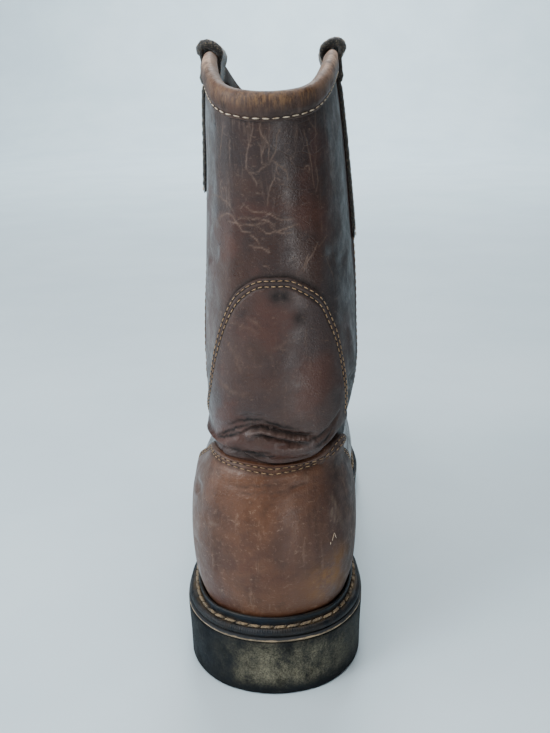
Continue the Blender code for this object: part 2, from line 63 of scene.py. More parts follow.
# Sole sizes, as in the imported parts
SOLE_LENGTH = 0.312
HEEL_WIDTH = 0.087
BALL_WIDTH = 0.112
HEEL_STACK = 0.0283
FOREFOOT_STACK = 0.0125
TOE_SPRING = 0.010
HEEL_LENGTH = 0.078
BREAST_SLOPE = 0.0015
LUG_DEPTH = 0.0035
LUG_GROOVE = 0.0042
LUG_PITCH = 0.0135
GROOVE_WALL = 0.0004
TREAD_BORDER = 0.011
TREAD_END = 0.95
MIDSOLE = 0.0018
WELT = 0.0036
RIB_HEIGHT = 0.0042
RIB_WIDTH = 0.0020
INSOLE = 0.0040
SHANK_BACK = 0.190
SHANK_FRONT = 0.615
SPRING_START = 0.745

# Leather sizes
LEATHER = 0.0021
OVERLAY = 0.0016
SHAFT_HEIGHT = 0.2333
SHAFT_WIDTH = 0.074
HALF_ROUND = 0.172
COLLAR_RISE = 0.0205
COLLAR_RISE_RINGS = 6
COLLAR_LEATHER = 0.0012
COLLAR_PADDING = 0.0004
STRAP_WIDTH = 0.0255
STRAP_THICKNESS = 0.0020
STRAP_LOOP = 0.0030
STRAP_PUFF = 0.0022
STRAP_INSIDE = 0.030
STRAP_LEG_LATERAL = 0.060
STRAP_LEG_MEDIAL = 0.082
STRAP_CLIMB = (0.0128, 0.0094)
GAP = 0.0003
FACET_ROOM = 0.0004

SOLE_PLAN = [
    # share of the length, width that the row follows, lateral, medial reach
    (0.020, HEEL_WIDTH, 0.261, 0.261),
    (0.053, HEEL_WIDTH, 0.388, 0.388),
    (0.103, HEEL_WIDTH, 0.476, 0.476),
    (0.154, HEEL_WIDTH, 0.500, 0.500),
    (0.224, HEEL_WIDTH, 0.494, 0.486),
    (0.320, HEEL_WIDTH, 0.474, 0.431),
    (0.433, BALL_WIDTH, 0.394, 0.306),
    (0.545, BALL_WIDTH, 0.463, 0.352),
    (0.657, BALL_WIDTH, 0.509, 0.420),
    (0.753, BALL_WIDTH, 0.493, 0.457),
    (0.849, BALL_WIDTH, 0.428, 0.431),
    (0.929, BALL_WIDTH, 0.314, 0.336),
    (0.974, BALL_WIDTH, 0.194, 0.220),
]
STATIONS = (0.03, 0.15, 0.35, 0.55, 0.75, 0.92)
HEEL_STATIONS = 3
FOOT_RINGS = [
    # back_y, back_rise, front_y, front_rise, follow, lateral reach, medial reach
    (0.032, 0.000, 0.974, -0.03, 1.00,
     (0.256, 0.382, 0.367, 0.378, 0.400, 0.274), (0.256, 0.382, 0.312, 0.308, 0.390, 0.290)),
    (0.023, 0.050, 0.985, 0.015, 1.00,
     (0.285, 0.423, 0.396, 0.396, 0.413, 0.280), (0.285, 0.423, 0.347, 0.331, 0.406, 0.300)),
    (0.018, 0.101, 0.984, 0.066, 0.85,
     (0.294, 0.438, 0.412, 0.387, 0.398, 0.268), (0.294, 0.438, 0.377, 0.346, 0.391, 0.288)),
    (0.019, 0.152, 0.962, 0.117, 0.60,
     (0.294, 0.440, 0.416, 0.363, 0.366, 0.244), (0.294, 0.440, 0.396, 0.341, 0.358, 0.258)),
    (0.025, 0.203, 0.917, 0.152, 0.30,
     (0.285, 0.432, 0.411, 0.340, 0.317, 0.214), (0.285, 0.432, 0.401, 0.328, 0.306, 0.218)),
    (0.033, 0.242, 0.840, 0.173, 0.10,
     (0.276, 0.414, 0.408, 0.323, 0.289, 0.177), (0.276, 0.414, 0.400, 0.315, 0.272, 0.172)),
    (0.041, 0.276, 0.763, 0.195, 0.00,
     (0.260, 0.391, 0.402, 0.302, 0.263, 0.151), (0.260, 0.391, 0.397, 0.297, 0.246, 0.147)),
    (0.048, 0.302, 0.686, 0.223, 0.00,
     (0.243, 0.350, 0.362, 0.281, 0.243, 0.137), (0.243, 0.350, 0.362, 0.278, 0.238, 0.134)),
    (0.055, 0.323, 0.609, 0.268, 0.00,
     (0.230, 0.338, 0.357, 0.273, 0.236, 0.133), (0.230, 0.338, 0.357, 0.272, 0.232, 0.132)),
    (0.052, 0.341, 0.538, 0.328, 0.00,
     (0.228, 0.342, 0.372, 0.287, 0.246, 0.144), (0.228, 0.342, 0.372, 0.287, 0.245, 0.142)),
]
SHAFT_RINGS = [
    # back_y, back_rise, front_y, front_rise, reach, lean
    (0.044, 0.362, 0.487, 0.392, 0.458, 0.045),
    (0.039, 0.400, 0.455, 0.456, 0.480, 0.050),
    (0.040, 0.452, 0.441, 0.520, 0.487, 0.055),
    (0.046, 0.529, 0.439, 0.598, 0.480, 0.055),
    (0.050, 0.623, 0.449, 0.683, 0.466, 0.055),
    (0.051, 0.730, 0.462, 0.772, 0.447, 0.050),
    (0.047, 0.846, 0.476, 0.862, 0.422, 0.036),
    (0.039, 0.932, 0.487, 0.918, 0.402, 0.022),
    (0.035, 0.975, 0.492, 0.946, 0.382, 0.018),
    (0.034, 1.000, 0.494, 0.955, 0.376, 0.018),
]
FOOT_LEAN = (0.010, 0.030, 0.040)
SHAFT_OVAL = (0.50, 0.82, 0.98, 1.00, 0.87, 0.54)

COUNTER_TIP = 0.455
COUNTER_EDGE = [
    # turn from the back seam, top edge on the lateral side, on the medial side
    (0.000, 0.321, 0.321),
    (0.050, 0.325, 0.327),
    (0.090, 0.329, 0.336),
    (0.130, 0.333, 0.350),
    (0.180, 0.337, 0.358),
    (0.250, 0.334, 0.352),
    (0.310, 0.290, 0.300),
    (0.380, 0.180, 0.185),
    (0.430, 0.080, 0.080),
    (0.455, 0.035, 0.035),
]
PANEL_LATERAL = 0.366
PANEL_MEDIAL = 0.262
PANEL_TRIM = 0.0009
PANEL_FOOT = [
    # share of the reach, lower edge on the lateral side, on the medial side
    (0.00, 0.326, 0.326),
    (0.06, 0.328, 0.326),
    (0.15, 0.339, 0.330),
    (0.28, 0.348, 0.338),
    (0.43, 0.352, 0.351),
    (0.62, 0.350, 0.367),
    (0.82, 0.350, 0.378),
    (1.00, 0.351, 0.383),
]
PANEL_EDGE = [
    # share of the reach, top edge on the lateral side, on the medial side
    (0.00, 0.690, 0.690),
    (0.15, 0.685, 0.688),
    (0.30, 0.658, 0.674),
    (0.42, 0.615, 0.658),
    (0.52, 0.567, 0.638),
    (0.62, 0.513, 0.606),
    (0.72, 0.461, 0.570),
    (0.80, 0.430, 0.534),
    (0.88, 0.402, 0.492),
    (0.95, 0.380, 0.448),
    (1.00, 0.364, 0.402),
]

# Vamp seam over the instep: turn from the back seam, and ring
VAMP_EDGE = [
    (0.34, 2.2), (0.40, 3.6), (0.47, 5.2), (0.56, 6.7), (0.68, 8.0), (0.82, 8.8), (1.00, 9.2),
]
# Stitch rows of the vamp, in rings below its edge
VAMP_ROWS = (0.25, 0.52)
# Side seam, and its stitch rows in turns in front of it
SIDE_SEAM = 0.445
SIDE_ROWS = (0.012, 0.026)
SEAM_STEP = 0.0007
VAMP_FLEX = [
    # flex line: place along the boot at its middle, slant, half width, height
    (0.205, 0.25, 0.0030, -0.0011),
    (0.196, 0.10, 0.0022, -0.0008),
    (0.2005, 0.18, 0.0022, 0.0006),
    (0.214, 0.30, 0.0020, -0.0007),
    (0.186, -0.05, 0.0024, -0.0006),
]
VAMP_BOW = 5.0

# Lines on the leather: turn from the back seam, share of the shaft's height
VEINS = [
    [(-0.040, 0.961), (-0.043, 0.940), (-0.054, 0.917), (-0.063, 0.900), (-0.068, 0.877),
     (-0.056, 0.869), (-0.040, 0.870), (-0.023, 0.878), (-0.001, 0.885)],
    [(-0.013, 0.962), (-0.021, 0.944), (-0.012, 0.930), (0.002, 0.916), (0.000, 0.899),
     (-0.001, 0.885)],
    [(0.039, 0.944), (0.026, 0.928), (0.022, 0.910), (0.007, 0.894), (-0.001, 0.885)],
    [(-0.001, 0.885), (-0.020, 0.887), (-0.020, 0.898), (-0.010, 0.916)],
    [(0.008, 0.891), (0.020, 0.885), (0.038, 0.877), (0.045, 0.870), (0.047, 0.858)],
    [(0.017, 0.878), (0.010, 0.861), (-0.003, 0.844), (-0.012, 0.825), (-0.013, 0.813)],
    [(-0.054, 0.868), (-0.044, 0.856), (-0.041, 0.846)],
    [(0.020, 0.885), (0.020, 0.872), (0.026, 0.866)],
    [(-0.141, 0.943), (-0.154, 0.915), (-0.165, 0.886)],
    [(-0.309, 0.793), (-0.190, 0.813), (-0.142, 0.811), (-0.120, 0.801), (-0.108, 0.789)],
    [(-0.231, 0.751), (-0.207, 0.766), (-0.149, 0.789), (-0.120, 0.789), (-0.101, 0.777),
     (-0.072, 0.777), (-0.030, 0.782), (-0.011, 0.789)],
    [(-0.137, 0.777), (-0.106, 0.777), (-0.087, 0.765), (-0.065, 0.765)],
    [(-0.162, 0.847), (-0.174, 0.831), (-0.164, 0.818)],
    [(-0.150, 0.836), (-0.142, 0.825), (-0.142, 0.801)],
    [(0.100, 0.875), (0.113, 0.875), (0.113, 0.866)],
    [(0.107, 0.935), (0.114, 0.914), (0.120, 0.894), (0.125, 0.875), (0.125, 0.858),
     (0.129, 0.836)],
    [(0.128, 0.951), (0.149, 0.933), (0.163, 0.920)],
    [(-0.084, 0.813), (-0.053, 0.801), (-0.020, 0.801), (0.020, 0.789), (0.056, 0.789)],
    [(-0.097, 0.789), (-0.064, 0.789), (-0.027, 0.789), (0.005, 0.777)],
    [(-0.048, 0.777), (-0.017, 0.765), (0.020, 0.770), (0.051, 0.777), (0.070, 0.777)],
    [(-0.010, 0.777), (0.018, 0.765), (0.050, 0.765)],
    [(-0.066, 0.761), (-0.050, 0.753), (-0.043, 0.745)],
    [(-0.072, 0.741), (-0.036, 0.738), (-0.015, 0.730)],
    [(0.121, 0.741), (0.111, 0.730), (0.098, 0.719), (0.085, 0.708), (0.077, 0.695)],
    [(0.090, 0.723), (0.080, 0.708), (0.071, 0.697)],
    [(0.203, 0.730), (0.209, 0.712), (0.213, 0.690)],
    [(0.154, 0.708), (0.177, 0.686), (0.192, 0.664), (0.193, 0.643)],
    [(0.123, 0.732), (0.147, 0.741), (0.166, 0.747)],
    [(-0.028, 0.921), (-0.022, 0.914), (-0.020, 0.902)],
    [(-0.115, 0.920), (-0.120, 0.894), (-0.120, 0.875)],
    [(0.157, 0.902), (0.142, 0.875), (0.147, 0.847), (0.130, 0.825)],
]
PANEL_SCRATCHES = [
    [(-0.132, 0.600), (-0.092, 0.593), (-0.067, 0.590), (-0.050, 0.583)],
    [(-0.150, 0.562), (-0.120, 0.547), (-0.102, 0.525), (-0.093, 0.506)],
    [(-0.132, 0.551), (-0.110, 0.538), (-0.093, 0.533)],
    [(-0.200, 0.486), (-0.146, 0.476), (-0.111, 0.467), (-0.083, 0.463)],
    [(-0.163, 0.478), (-0.129, 0.468), (-0.100, 0.466), (-0.077, 0.469)],
    [(-0.077, 0.610), (-0.052, 0.603), (-0.040, 0.593)],
    [(-0.005, 0.556), (0.015, 0.565), (0.030, 0.572)],
]
CREASES = [
    # half width and height in metres, then the line
    (0.0036, 0.0020, [(-0.220, 0.366), (-0.109, 0.370), (-0.063, 0.370), (-0.022, 0.366),
                      (0.020, 0.360), (0.065, 0.360), (0.110, 0.368), (0.190, 0.386)]),
    (0.0024, -0.0012, [(-0.232, 0.372), (-0.138, 0.397), (-0.095, 0.413), (-0.068, 0.419),
                       (-0.044, 0.418), (-0.002, 0.410), (0.040, 0.404), (0.100, 0.402)]),
    (0.0012, -0.0027, [(-0.095, 0.391), (-0.071, 0.400), (-0.050, 0.405), (-0.030, 0.404),
                       (-0.009, 0.401), (0.011, 0.396), (0.033, 0.392), (0.083, 0.387),
                       (0.110, 0.388)]),
    (0.0011, 0.0018, [(-0.080, 0.382), (-0.069, 0.390), (-0.054, 0.397), (-0.036, 0.399),
                      (-0.016, 0.395), (0.008, 0.390), (0.037, 0.385), (0.063, 0.381),
                      (0.092, 0.380)]),
    (0.0009, -0.0020, [(-0.062, 0.388), (-0.054, 0.391), (-0.033, 0.391), (-0.009, 0.387),
                       (0.019, 0.382), (0.048, 0.377), (0.078, 0.374)]),
    (0.0015, -0.0028, [(-0.160, 0.346), (-0.129, 0.350), (-0.100, 0.350), (-0.076, 0.351),
                       (-0.051, 0.351), (-0.027, 0.350)]),
    (0.0009, -0.0009, [(-0.082, 0.360), (-0.054, 0.356), (-0.030, 0.357), (-0.012, 0.361)]),
    (0.0009, -0.0007, [(-0.065, 0.344), (-0.033, 0.346), (-0.012, 0.350)]),
    (0.0018, 0.0009, [(-0.150, 0.337), (-0.121, 0.337), (-0.085, 0.336), (-0.051, 0.334)]),
    (0.0016, 0.0010, [(-0.330, 0.372), (-0.285, 0.360), (-0.207, 0.354), (-0.165, 0.352)]),
    (0.0009, -0.0007, [(-0.196, 0.370), (-0.123, 0.392), (-0.089, 0.405), (-0.070, 0.411)]),
    (0.0008, -0.0006, [(-0.187, 0.364), (-0.120, 0.382), (-0.098, 0.388)]),
    (0.0009, -0.0005, [(-0.115, 0.420), (-0.071, 0.428), (-0.036, 0.428), (-0.009, 0.421)]),
    (0.0012, -0.0009, [(0.100, 0.379), (0.125, 0.386), (0.160, 0.400), (0.200, 0.420)]),
    (0.0011, -0.0007, [(0.110, 0.366), (0.136, 0.376), (0.170, 0.392)]),
    (0.0009, -0.0005, [(-0.009, 0.373), (0.026, 0.374), (0.065, 0.370)]),
    (0.0009, -0.0004, [(0.000, 0.348), (0.040, 0.346), (0.090, 0.354)]),
    (0.0030, -0.0010, [(-0.330, 0.668), (-0.284, 0.686), (-0.238, 0.703), (-0.202, 0.720)]),
    (0.0030, -0.0009, [(0.149, 0.719), (0.211, 0.706), (0.261, 0.685), (0.330, 0.675)]),
    (0.0050, 0.0012, [(0.300, 0.560), (0.330, 0.500), (0.360, 0.430)]),
    (0.0022, -0.0018, [(0.285, 0.455), (0.345, 0.436), (0.400, 0.424)]),
    (0.0018, -0.0012, [(0.290, 0.425), (0.340, 0.412), (0.390, 0.404)]),
    (0.0030, -0.0012, [(-0.460, 0.450), (-0.400, 0.432), (-0.350, 0.425)]),
    (0.0011, -0.0007, [(-0.100, 0.284), (-0.080, 0.282), (-0.057, 0.280), (-0.034, 0.281),
                       (-0.015, 0.283), (0.008, 0.285), (0.036, 0.284)]),
    (0.0010, -0.0005, [(-0.080, 0.271), (-0.033, 0.270), (-0.002, 0.273), (0.036, 0.272)]),
    (0.0009, -0.0004, [(-0.060, 0.293), (0.000, 0.292), (0.050, 0.294)]),
    (0.0010, -0.0005, [(0.036, 0.279), (0.058, 0.282), (0.080, 0.289)]),
    (0.0040, -0.0016, [(-0.190, 0.234), (-0.197, 0.264)]),
    (0.0030, -0.0008, [(-0.179, 0.142), (-0.173, 0.128)]),
    (0.0030, -0.0012, [(0.700, 0.395), (0.850, 0.405), (1.000, 0.410)]),
    (0.0026, -0.0010, [(0.780, 0.350), (0.900, 0.356), (1.000, 0.360)]),
    (0.0026, 0.0010, [(0.720, 0.372), (0.850, 0.380), (1.000, 0.385)]),
    (0.0022, -0.0008, [(0.600, 0.352), (0.680, 0.362), (0.760, 0.366)]),
    (0.0030, -0.0012, [(-1.000, 0.410), (-0.850, 0.405), (-0.700, 0.395)]),
    (0.0026, -0.0010, [(-1.000, 0.360), (-0.900, 0.356), (-0.780, 0.350)]),
    (0.0026, 0.0010, [(-1.000, 0.385), (-0.850, 0.380), (-0.720, 0.372)]),
]
# Painted shade along the panel's fold creases: turn and share of the height
FOLD_SHADES = [
    [(-0.087, 0.396), (-0.050, 0.404), (-0.030, 0.404), (0.011, 0.396), (0.033, 0.392),
     (0.083, 0.387)],
    [(-0.054, 0.391), (-0.009, 0.388), (0.019, 0.383), (0.048, 0.378), (0.078, 0.375)],
    [(-0.156, 0.346), (-0.129, 0.349), (-0.076, 0.351), (-0.027, 0.350)],
    [(-0.082, 0.360), (-0.054, 0.356), (-0.022, 0.360)],
    [(-0.065, 0.344), (-0.033, 0.347), (-0.007, 0.354)],
    [(-0.196, 0.370), (-0.123, 0.393), (-0.089, 0.406), (-0.060, 0.413)],
    [(-0.187, 0.368), (-0.120, 0.386), (-0.086, 0.396)],
    [(-0.138, 0.400), (-0.095, 0.415), (-0.044, 0.420), (-0.002, 0.411), (0.052, 0.401)],
    [(0.087, 0.380), (0.113, 0.385), (0.139, 0.393)],
    [(0.103, 0.367), (0.136, 0.377), (0.157, 0.390)],
]
# Painted shade in the folds under the counter's edge, then faint dark streaks
COUNTER_SHADES = [
    [(-0.080, 0.282), (-0.057, 0.280), (-0.034, 0.282), (0.008, 0.285), (0.036, 0.285)],
    [(-0.066, 0.269), (-0.033, 0.270), (-0.002, 0.274), (0.036, 0.272)],
    [(0.036, 0.282), (0.058, 0.282), (0.078, 0.287)],
    [(0.083, 0.270), (0.086, 0.200), (0.084, 0.120)],
    [(0.092, 0.300), (0.096, 0.220), (0.095, 0.150), (0.093, 0.080)],
    [(0.073, 0.240), (0.075, 0.180)],
    [(-0.105, 0.240), (-0.108, 0.170), (-0.104, 0.110)],
]
LOOSE_THREADS = [
    # turn and rise of both ends, on the counter
    [(0.1150, 0.164), (0.1215, 0.178)],
    [(0.1222, 0.179), (0.1270, 0.165)],
    [(0.1110, 0.158), (0.1118, 0.164)],
]
COUNTER_SCRATCHES = [
    [(0.128, 0.250), (0.138, 0.215), (0.150, 0.185)],
    [(0.120, 0.225), (0.132, 0.195)],
    [(-0.120, 0.200), (-0.100, 0.195)],
]

# Half width of each kind of line, and how far it wanders, in metres
VEIN = (0.00030, 0.00025)
PANEL_SCRATCH = (0.0006, 0.0004)
FOLD_SHADE = (0.0008, 0.0003)
COUNTER_SHADE = (0.0006, 0.0003)
COUNTER_STREAK = (0.0004, 0.0003)
COUNTER_SCRATCH = (0.0005, 0.0003)
CREASE_WANDER = 0.00022
LINE_ENDS = 0.6
# Depth of the lines that are cut into the leather
VEIN_DEPTH = 0.00006
PANEL_SCRATCH_DEPTH = 0.00004
COUNTER_SCRATCH_DEPTH = 0.0001

# Round patches of colour: turn, share of the height, radius in metres, strength
SHAFT_PALE = [(-0.30, 0.86, 0.02, 0.5), (0.235, 0.846, 0.003, 0.9)]
# Painted shade in two hollows on the medial side
SHAFT_HOLLOWS = [(0.290, 0.345, 0.013, 0.9), (0.330, 0.420, 0.012, 0.7)]
# Dark spots on the back panel; the one in the pocket under the fold is painted shade
PANEL_DARK_SPOTS = [
    (0.000, 0.652, 0.0035, 0.9), (0.020, 0.652, 0.003, 0.9), (0.056, 0.611, 0.003, 0.8),
    (-0.105, 0.357, 0.004, 0.9),
]
COUNTER_OCHRE = [
    (0.118, 0.090, 0.007, 1.0), (0.140, 0.118, 0.006, 0.8), (0.150, 0.060, 0.006, 0.5),
    (0.100, 0.060, 0.005, 0.6),
]


# The boot's surfaces

# Steps over which the ways along and out of a surface are measured
OUTLINE_STEP = 0.004
RING_STEP = 0.08
TURN_STEP = 0.006
RUN_STEP = 0.0004


def ease(x):
    x = np.clip(x, 0.0, 1.0)
    return x * x * (3 - 2 * x)


def mix(a, b, share):
    return a + (b - a) * share


def bell(distance, width):
    """1 at no distance, fading softly over a width."""
    return np.exp(-((distance / width) ** 2))


def smooth_between(places, values, x):
    """A cubic curve through rows of values, flat beyond its ends."""
    places, values = np.asarray(places, float), np.asarray(values, float)
    last = len(places) - 1
    before = np.maximum(np.arange(last + 1) - 1, 0)
    after = np.minimum(np.arange(last + 1) + 1, last)
    run = places[after] - places[before]
    slopes = (values[after] - values[before]) / (run if values.ndim == 1 else run[:, None])
    x = np.clip(x, places[0], places[-1])
    i = np.clip(np.searchsorted(places, x, side="right") - 1, 0, last - 1)
    width = places[i + 1] - places[i]
    s = (x - places[i]) / width
    if values.ndim > 1:
        s, width = s[:, None], width[:, None]
    start = (2 * s**3 - 3 * s**2 + 1) * values[i] + (s**3 - 2 * s**2 + s) * width * slopes[i]
    return start + (3 * s**2 - 2 * s**3) * values[i + 1] + (s**3 - s**2) * width * slopes[i + 1]


def end_round(share):
    """1 at the middle of a length and 0 at its ends, round as a circle."""
    return 2 * np.sqrt(np.clip(share * (1 - share), 0, None))


def turn_of(along):
    """The turn from the back at a share of the sole's length."""
    return np.arccos(1 - 2 * along) / np.pi


def along_of(turn):
    """The share of the sole's length at a turn from the back."""
    return (1 - np.cos(np.pi * np.abs(turn))) / 2


def sole_top(y):
    """Height of the rubber's upper face."""
    along = y / SOLE_LENGTH
    drop = ease((along - SHANK_BACK) / (SHANK_FRONT - SHANK_BACK))
    spring = np.clip(along - SPRING_START, 0, None) / (1 - SPRING_START)
    return mix(HEEL_STACK, FOREFOOT_STACK, drop) + TOE_SPRING * spring**2


def sole_bottom(y):
    """Height of the tread: the heel block, then one thickness to the toe."""
    block = 1 - np.clip((y - HEEL_LENGTH) / BREAST_SLOPE, 0, 1)
    return (sole_top(y) - FOREFOOT_STACK) * (1 - block)


def midsole_bottom(y):
    return sole_top(y) + GAP


def welt_bottom(y):
    return midsole_bottom(y) + MIDSOLE + GAP


def welt_top(y):
    return welt_bottom(y) + WELT


def leather_floor(y):
    return welt_top(y) + GAP


def sole_reach(turn):
    """Half width of the sole at a signed turn from the back, lateral below 0."""
    plan = np.array(SOLE_PLAN)
    reach = plan[:, 1:2] * plan[:, 2:4] / end_round(plan[:, 0])[:, None]
    widths = smooth_between(turn_of(plan[:, 0]), reach, np.abs(turn))
    return np.where(turn < 0, widths[:, 0], widths[:, 1]) * end_round(along_of(turn))


def sole_outline(turn, inset):
    """Points of the sole's outline on the floor, moved in by inset."""
    def at(t):
        return np.stack([np.sign(t) * sole_reach(t), SOLE_LENGTH * along_of(t)], 1)

    side = np.where(turn < 0, -1.0, 1.0)
    low = side * np.clip(np.abs(turn) - OUTLINE_STEP, 0, 1)
    high = side * np.clip(np.abs(turn) + OUTLINE_STEP, 0, 1)
    tangent = at(high) - at(low)
    tangent /= np.linalg.norm(tangent, axis=1)[:, None]
    inward = np.stack([-side * tangent[:, 1], side * tangent[:, 0]], 1)
    return at(turn) + inward * np.reshape(inset, (-1, 1))


def ring_table():
    """One row of numbers for each ring of the upper, bottom to top."""
    heel = leather_floor(0.0)
    widths = np.array([HEEL_WIDTH] * HEEL_STATIONS + [BALL_WIDTH] * (len(STATIONS) - HEEL_STATIONS))
    round_off = end_round(np.array(STATIONS))
    rows = []
    for back_y, back_rise, front_y, front_rise, follow, lateral, medial in FOOT_RINGS:
        row = [back_y * SOLE_LENGTH, heel + back_rise * SHAFT_HEIGHT]
        row += [front_y * SOLE_LENGTH, heel + front_rise * SHAFT_HEIGHT, follow]
        row += list(np.array(lateral) * widths / round_off)
        row += list(np.array(medial) * widths / round_off)
        rows.append(row + [0.0])
    for row, lean in zip(rows[-len(FOOT_LEAN):], FOOT_LEAN):
        row[-1] = lean * SHAFT_WIDTH
    for back_y, back_rise, front_y, front_rise, reach, lean in SHAFT_RINGS:
        row = [back_y * SOLE_LENGTH, heel + back_rise * SHAFT_HEIGHT]
        row += [front_y * SOLE_LENGTH, heel + front_rise * SHAFT_HEIGHT, 0]
        oval = list(reach * SHAFT_WIDTH * np.array(SHAFT_OVAL) / round_off)
        rows.append(row + oval + oval + [lean * SHAFT_WIDTH])
    return np.array(rows)


RINGS = ring_table()
TOP_RING = len(RINGS) - 1
STATION_TURNS = turn_of(np.array(STATIONS))


def ring_rows(ring):
    """The table's numbers between two of its rows, on a smooth curve."""
    ring = np.clip(ring, 0, TOP_RING)
    i = np.minimum(ring.astype(int), TOP_RING - 1)
    s = (ring - i)[:, None]
    a, b, c, d = (RINGS[np.clip(i + k, 0, TOP_RING)] for k in (-1, 0, 1, 2))
    bend = (2 * a - 5 * b + 4 * c - d) * s**2 + (3 * b - a - 3 * c + d) * s**3
    return b + ((c - a) * s + bend) / 2


FINE_RINGS = np.linspace(0, TOP_RING, 1901)
FINE_RISES = (ring_rows(FINE_RINGS)[:, 1] - leather_floor(0.0)) / SHAFT_HEIGHT


def ring_of(rise):
    return np.interp(rise, FINE_RISES, FINE_RINGS)


def rise_of(ring):
    return np.interp(ring, FINE_RINGS, FINE_RISES)


def skin_points(ring, turn):
    """Points of the upper's outer face for arrays of rings and signed turns."""
    turn = (turn + 1) % 2 - 1
    ring = np.clip(ring, 0, TOP_RING)
    values = ring_rows(ring)
    back_y, back_z, front_y, front_z, follow = values[:, :5].T
    count = len(STATIONS)
    size = np.abs(turn)
    unique, where = np.unique(np.round(size, 7), return_inverse=True)
    weights = smooth_between(STATION_TURNS, np.eye(count), unique)[where]
    reach = np.where(turn[:, None] < 0, values[:, 5:5 + count], values[:, 5 + count:5 + 2 * count])
    share = along_of(turn)
    half = (reach * weights).sum(1) * np.sin(np.pi * size)
    y = mix(back_y, front_y, share)
    flat = mix(back_z, front_z, share)
    lift = mix(back_z - leather_floor(back_y), front_z - leather_floor(front_y), share)
    lift = np.where(ring <= 0, 0, lift)
    z = mix(flat, leather_floor(y) + lift, follow)
    peak = ease((ring - TOP_RING + COLLAR_RISE_RINGS) / COLLAR_RISE_RINGS)
    z += COLLAR_RISE * peak * np.sin(np.pi * share)
    return np.stack([np.sign(turn) * half + values[:, -1], y, z], 1)


def unit(vectors):
    return vectors / np.maximum(np.linalg.norm(vectors, axis=-1, keepdims=True), 1e-12)


def skin_up(ring, turn):
    above = np.minimum(ring + RING_STEP, TOP_RING)
    below = np.maximum(ring - RING_STEP, 0)
    return skin_points(above, turn) - skin_points(below, turn)


def skin_out(ring, turn):
    """The way out of the leather at each point."""
    across = skin_points(ring, turn + TURN_STEP) - skin_points(ring, turn - TURN_STEP)
    out = np.cross(across, skin_up(ring, turn))
    out[:, 2] *= np.clip(ring / 0.3, 0, 1)
    return unit(out)


def skin(ring, turn, lift=0.0):
    """Points at a lift from the smooth upper, without its creases."""
    ring, turn = np.broadcast_arrays(np.asarray(ring, float), np.asarray(turn, float))
    lift = np.broadcast_to(lift, ring.shape)
    return skin_points(ring, turn) + skin_out(ring, turn) * lift[:, None]


# Lines and creases on the leather

def chart(line):
    """Turns and rises laid out flat, in metres."""
    return np.array(line) * [HALF_ROUND, SHAFT_HEIGHT]


def walk_length(points):
    """The length walked to each point of a line."""
    steps = np.linalg.norm(np.diff(points, axis=0), axis=1)
    return np.concatenate([[0], np.cumsum(steps)])


def resampled(points, count):
    """The same line with evenly spaced points on a smooth curve."""
    points = np.asarray(points, float)
    if len(points) < 3:
        return points[0] + (points[-1] - points[0]) * np.linspace(0, 1, count)[:, None]
    far = walk_length(points)
    return smooth_between(far, points, np.linspace(0, far[-1], count))


def line_distance(places, line):
    """Distance to a line, and how far along it the nearest point lies, 0 to 1."""
    best = np.full(len(places), 1.0)
    along = np.zeros(len(places))
    count = len(line) - 1
    for k in range(count):
        start, run = line[k], line[k + 1] - line[k]
        share = np.clip(((places - start) @ run) / max(run @ run, 1e-12), 0, 1)
        far = np.linalg.norm(places - start - share[:, None] * run, axis=1)
        nearer = far < best
        best = np.where(nearer, far, best)
        along = np.where(nearer, (k + share) / count, along)
    return best, along


def line_strength(places, line, width, wander=0.0, ends=0.0):
    """A soft line, 1 at its middle, that fades to a share at its two ends."""
    smooth = resampled(chart(line), 4 * len(line))
    reach = 4 * width
    low, high = smooth.min(0) - reach, smooth.max(0) + reach
    near = np.all((places > low) & (places < high), axis=1)
    strength = np.zeros(len(places))
    if near.any():
        spots = places[near]
        if wander:
            spots = spots + wander * ripple(spots)
        far, along = line_distance(spots, smooth)
        fade = ends + (1 - ends) * np.clip(5 * along * (1 - along), 0, 1)
        strength[near] = bell(far, width) * fade
    return strength


def ripple(places):
    """An irregular shift of each place, from -1 to 1, with no random numbers."""
    a, h = places[:, 0] * 1000, places[:, 1] * 1000
    first = np.sin(0.9 * h + 1.7 * np.sin(0.31 * h + 0.5 * a)) + 0.5 * np.sin(2.3 * h + 0.8 * a)
    second = np.sin(1.1 * a + 1.3 * np.sin(0.41 * a + 0.7 * h)) + 0.5 * np.sin(2.7 * a - 0.6 * h)
    return np.stack([first, second], 1) / 1.5


def creases(ring, turn):
    """Depth of the folds that the whole upper shares, in metres."""
    places = np.stack([turn * HALF_ROUND, rise_of(ring) * SHAFT_HEIGHT], 1)
    depth = np.zeros(len(places))
    for width, height, line in CREASES:
        depth += height * line_strength(places, line, width, CREASE_WANDER)
    a, h = places[:, 0] * 1000, places[:, 1] * 1000
    waves = np.sin(0.085 * a + 0.6 * np.sin(0.05 * h)) * np.sin(0.045 * h + 0.9)
    waves += 0.6 * np.sin(0.17 * a + 1.2 * np.sin(0.06 * h + 1.0) + 0.5)
    waves += 0.4 * np.sin(0.29 * a - 0.11 * h + 1.1)
    shaft = ease((rise_of(ring) - 0.42) / 0.1) * ease((1.0 - rise_of(ring)) / 0.12)
    return depth + 0.00028 * waves * shaft


def vamp_creases(points):
    """Flex lines across the vamp, where the foot bends."""
    x, y, z = points.T
    front = ease((y - 0.16) / 0.02) * ease((z - 0.035) / 0.012)
    depth = np.zeros(len(points))
    for place, slant, width, height in VAMP_FLEX:
        wander = 0.0008 * np.sin(260 * x + 40 * place)
        line = place + slant * x - VAMP_BOW * x * x + wander
        depth += height * bell(y - line, width)
    return depth * front


def vamp_side(ring, turn):
    """Distance below the vamp's edge in rings: above 0 on the vamp itself."""
    turns, rings = zip(*VAMP_EDGE)
    edge = np.interp(np.abs(turn), turns, rings, left=-1.0)
    return edge - ring


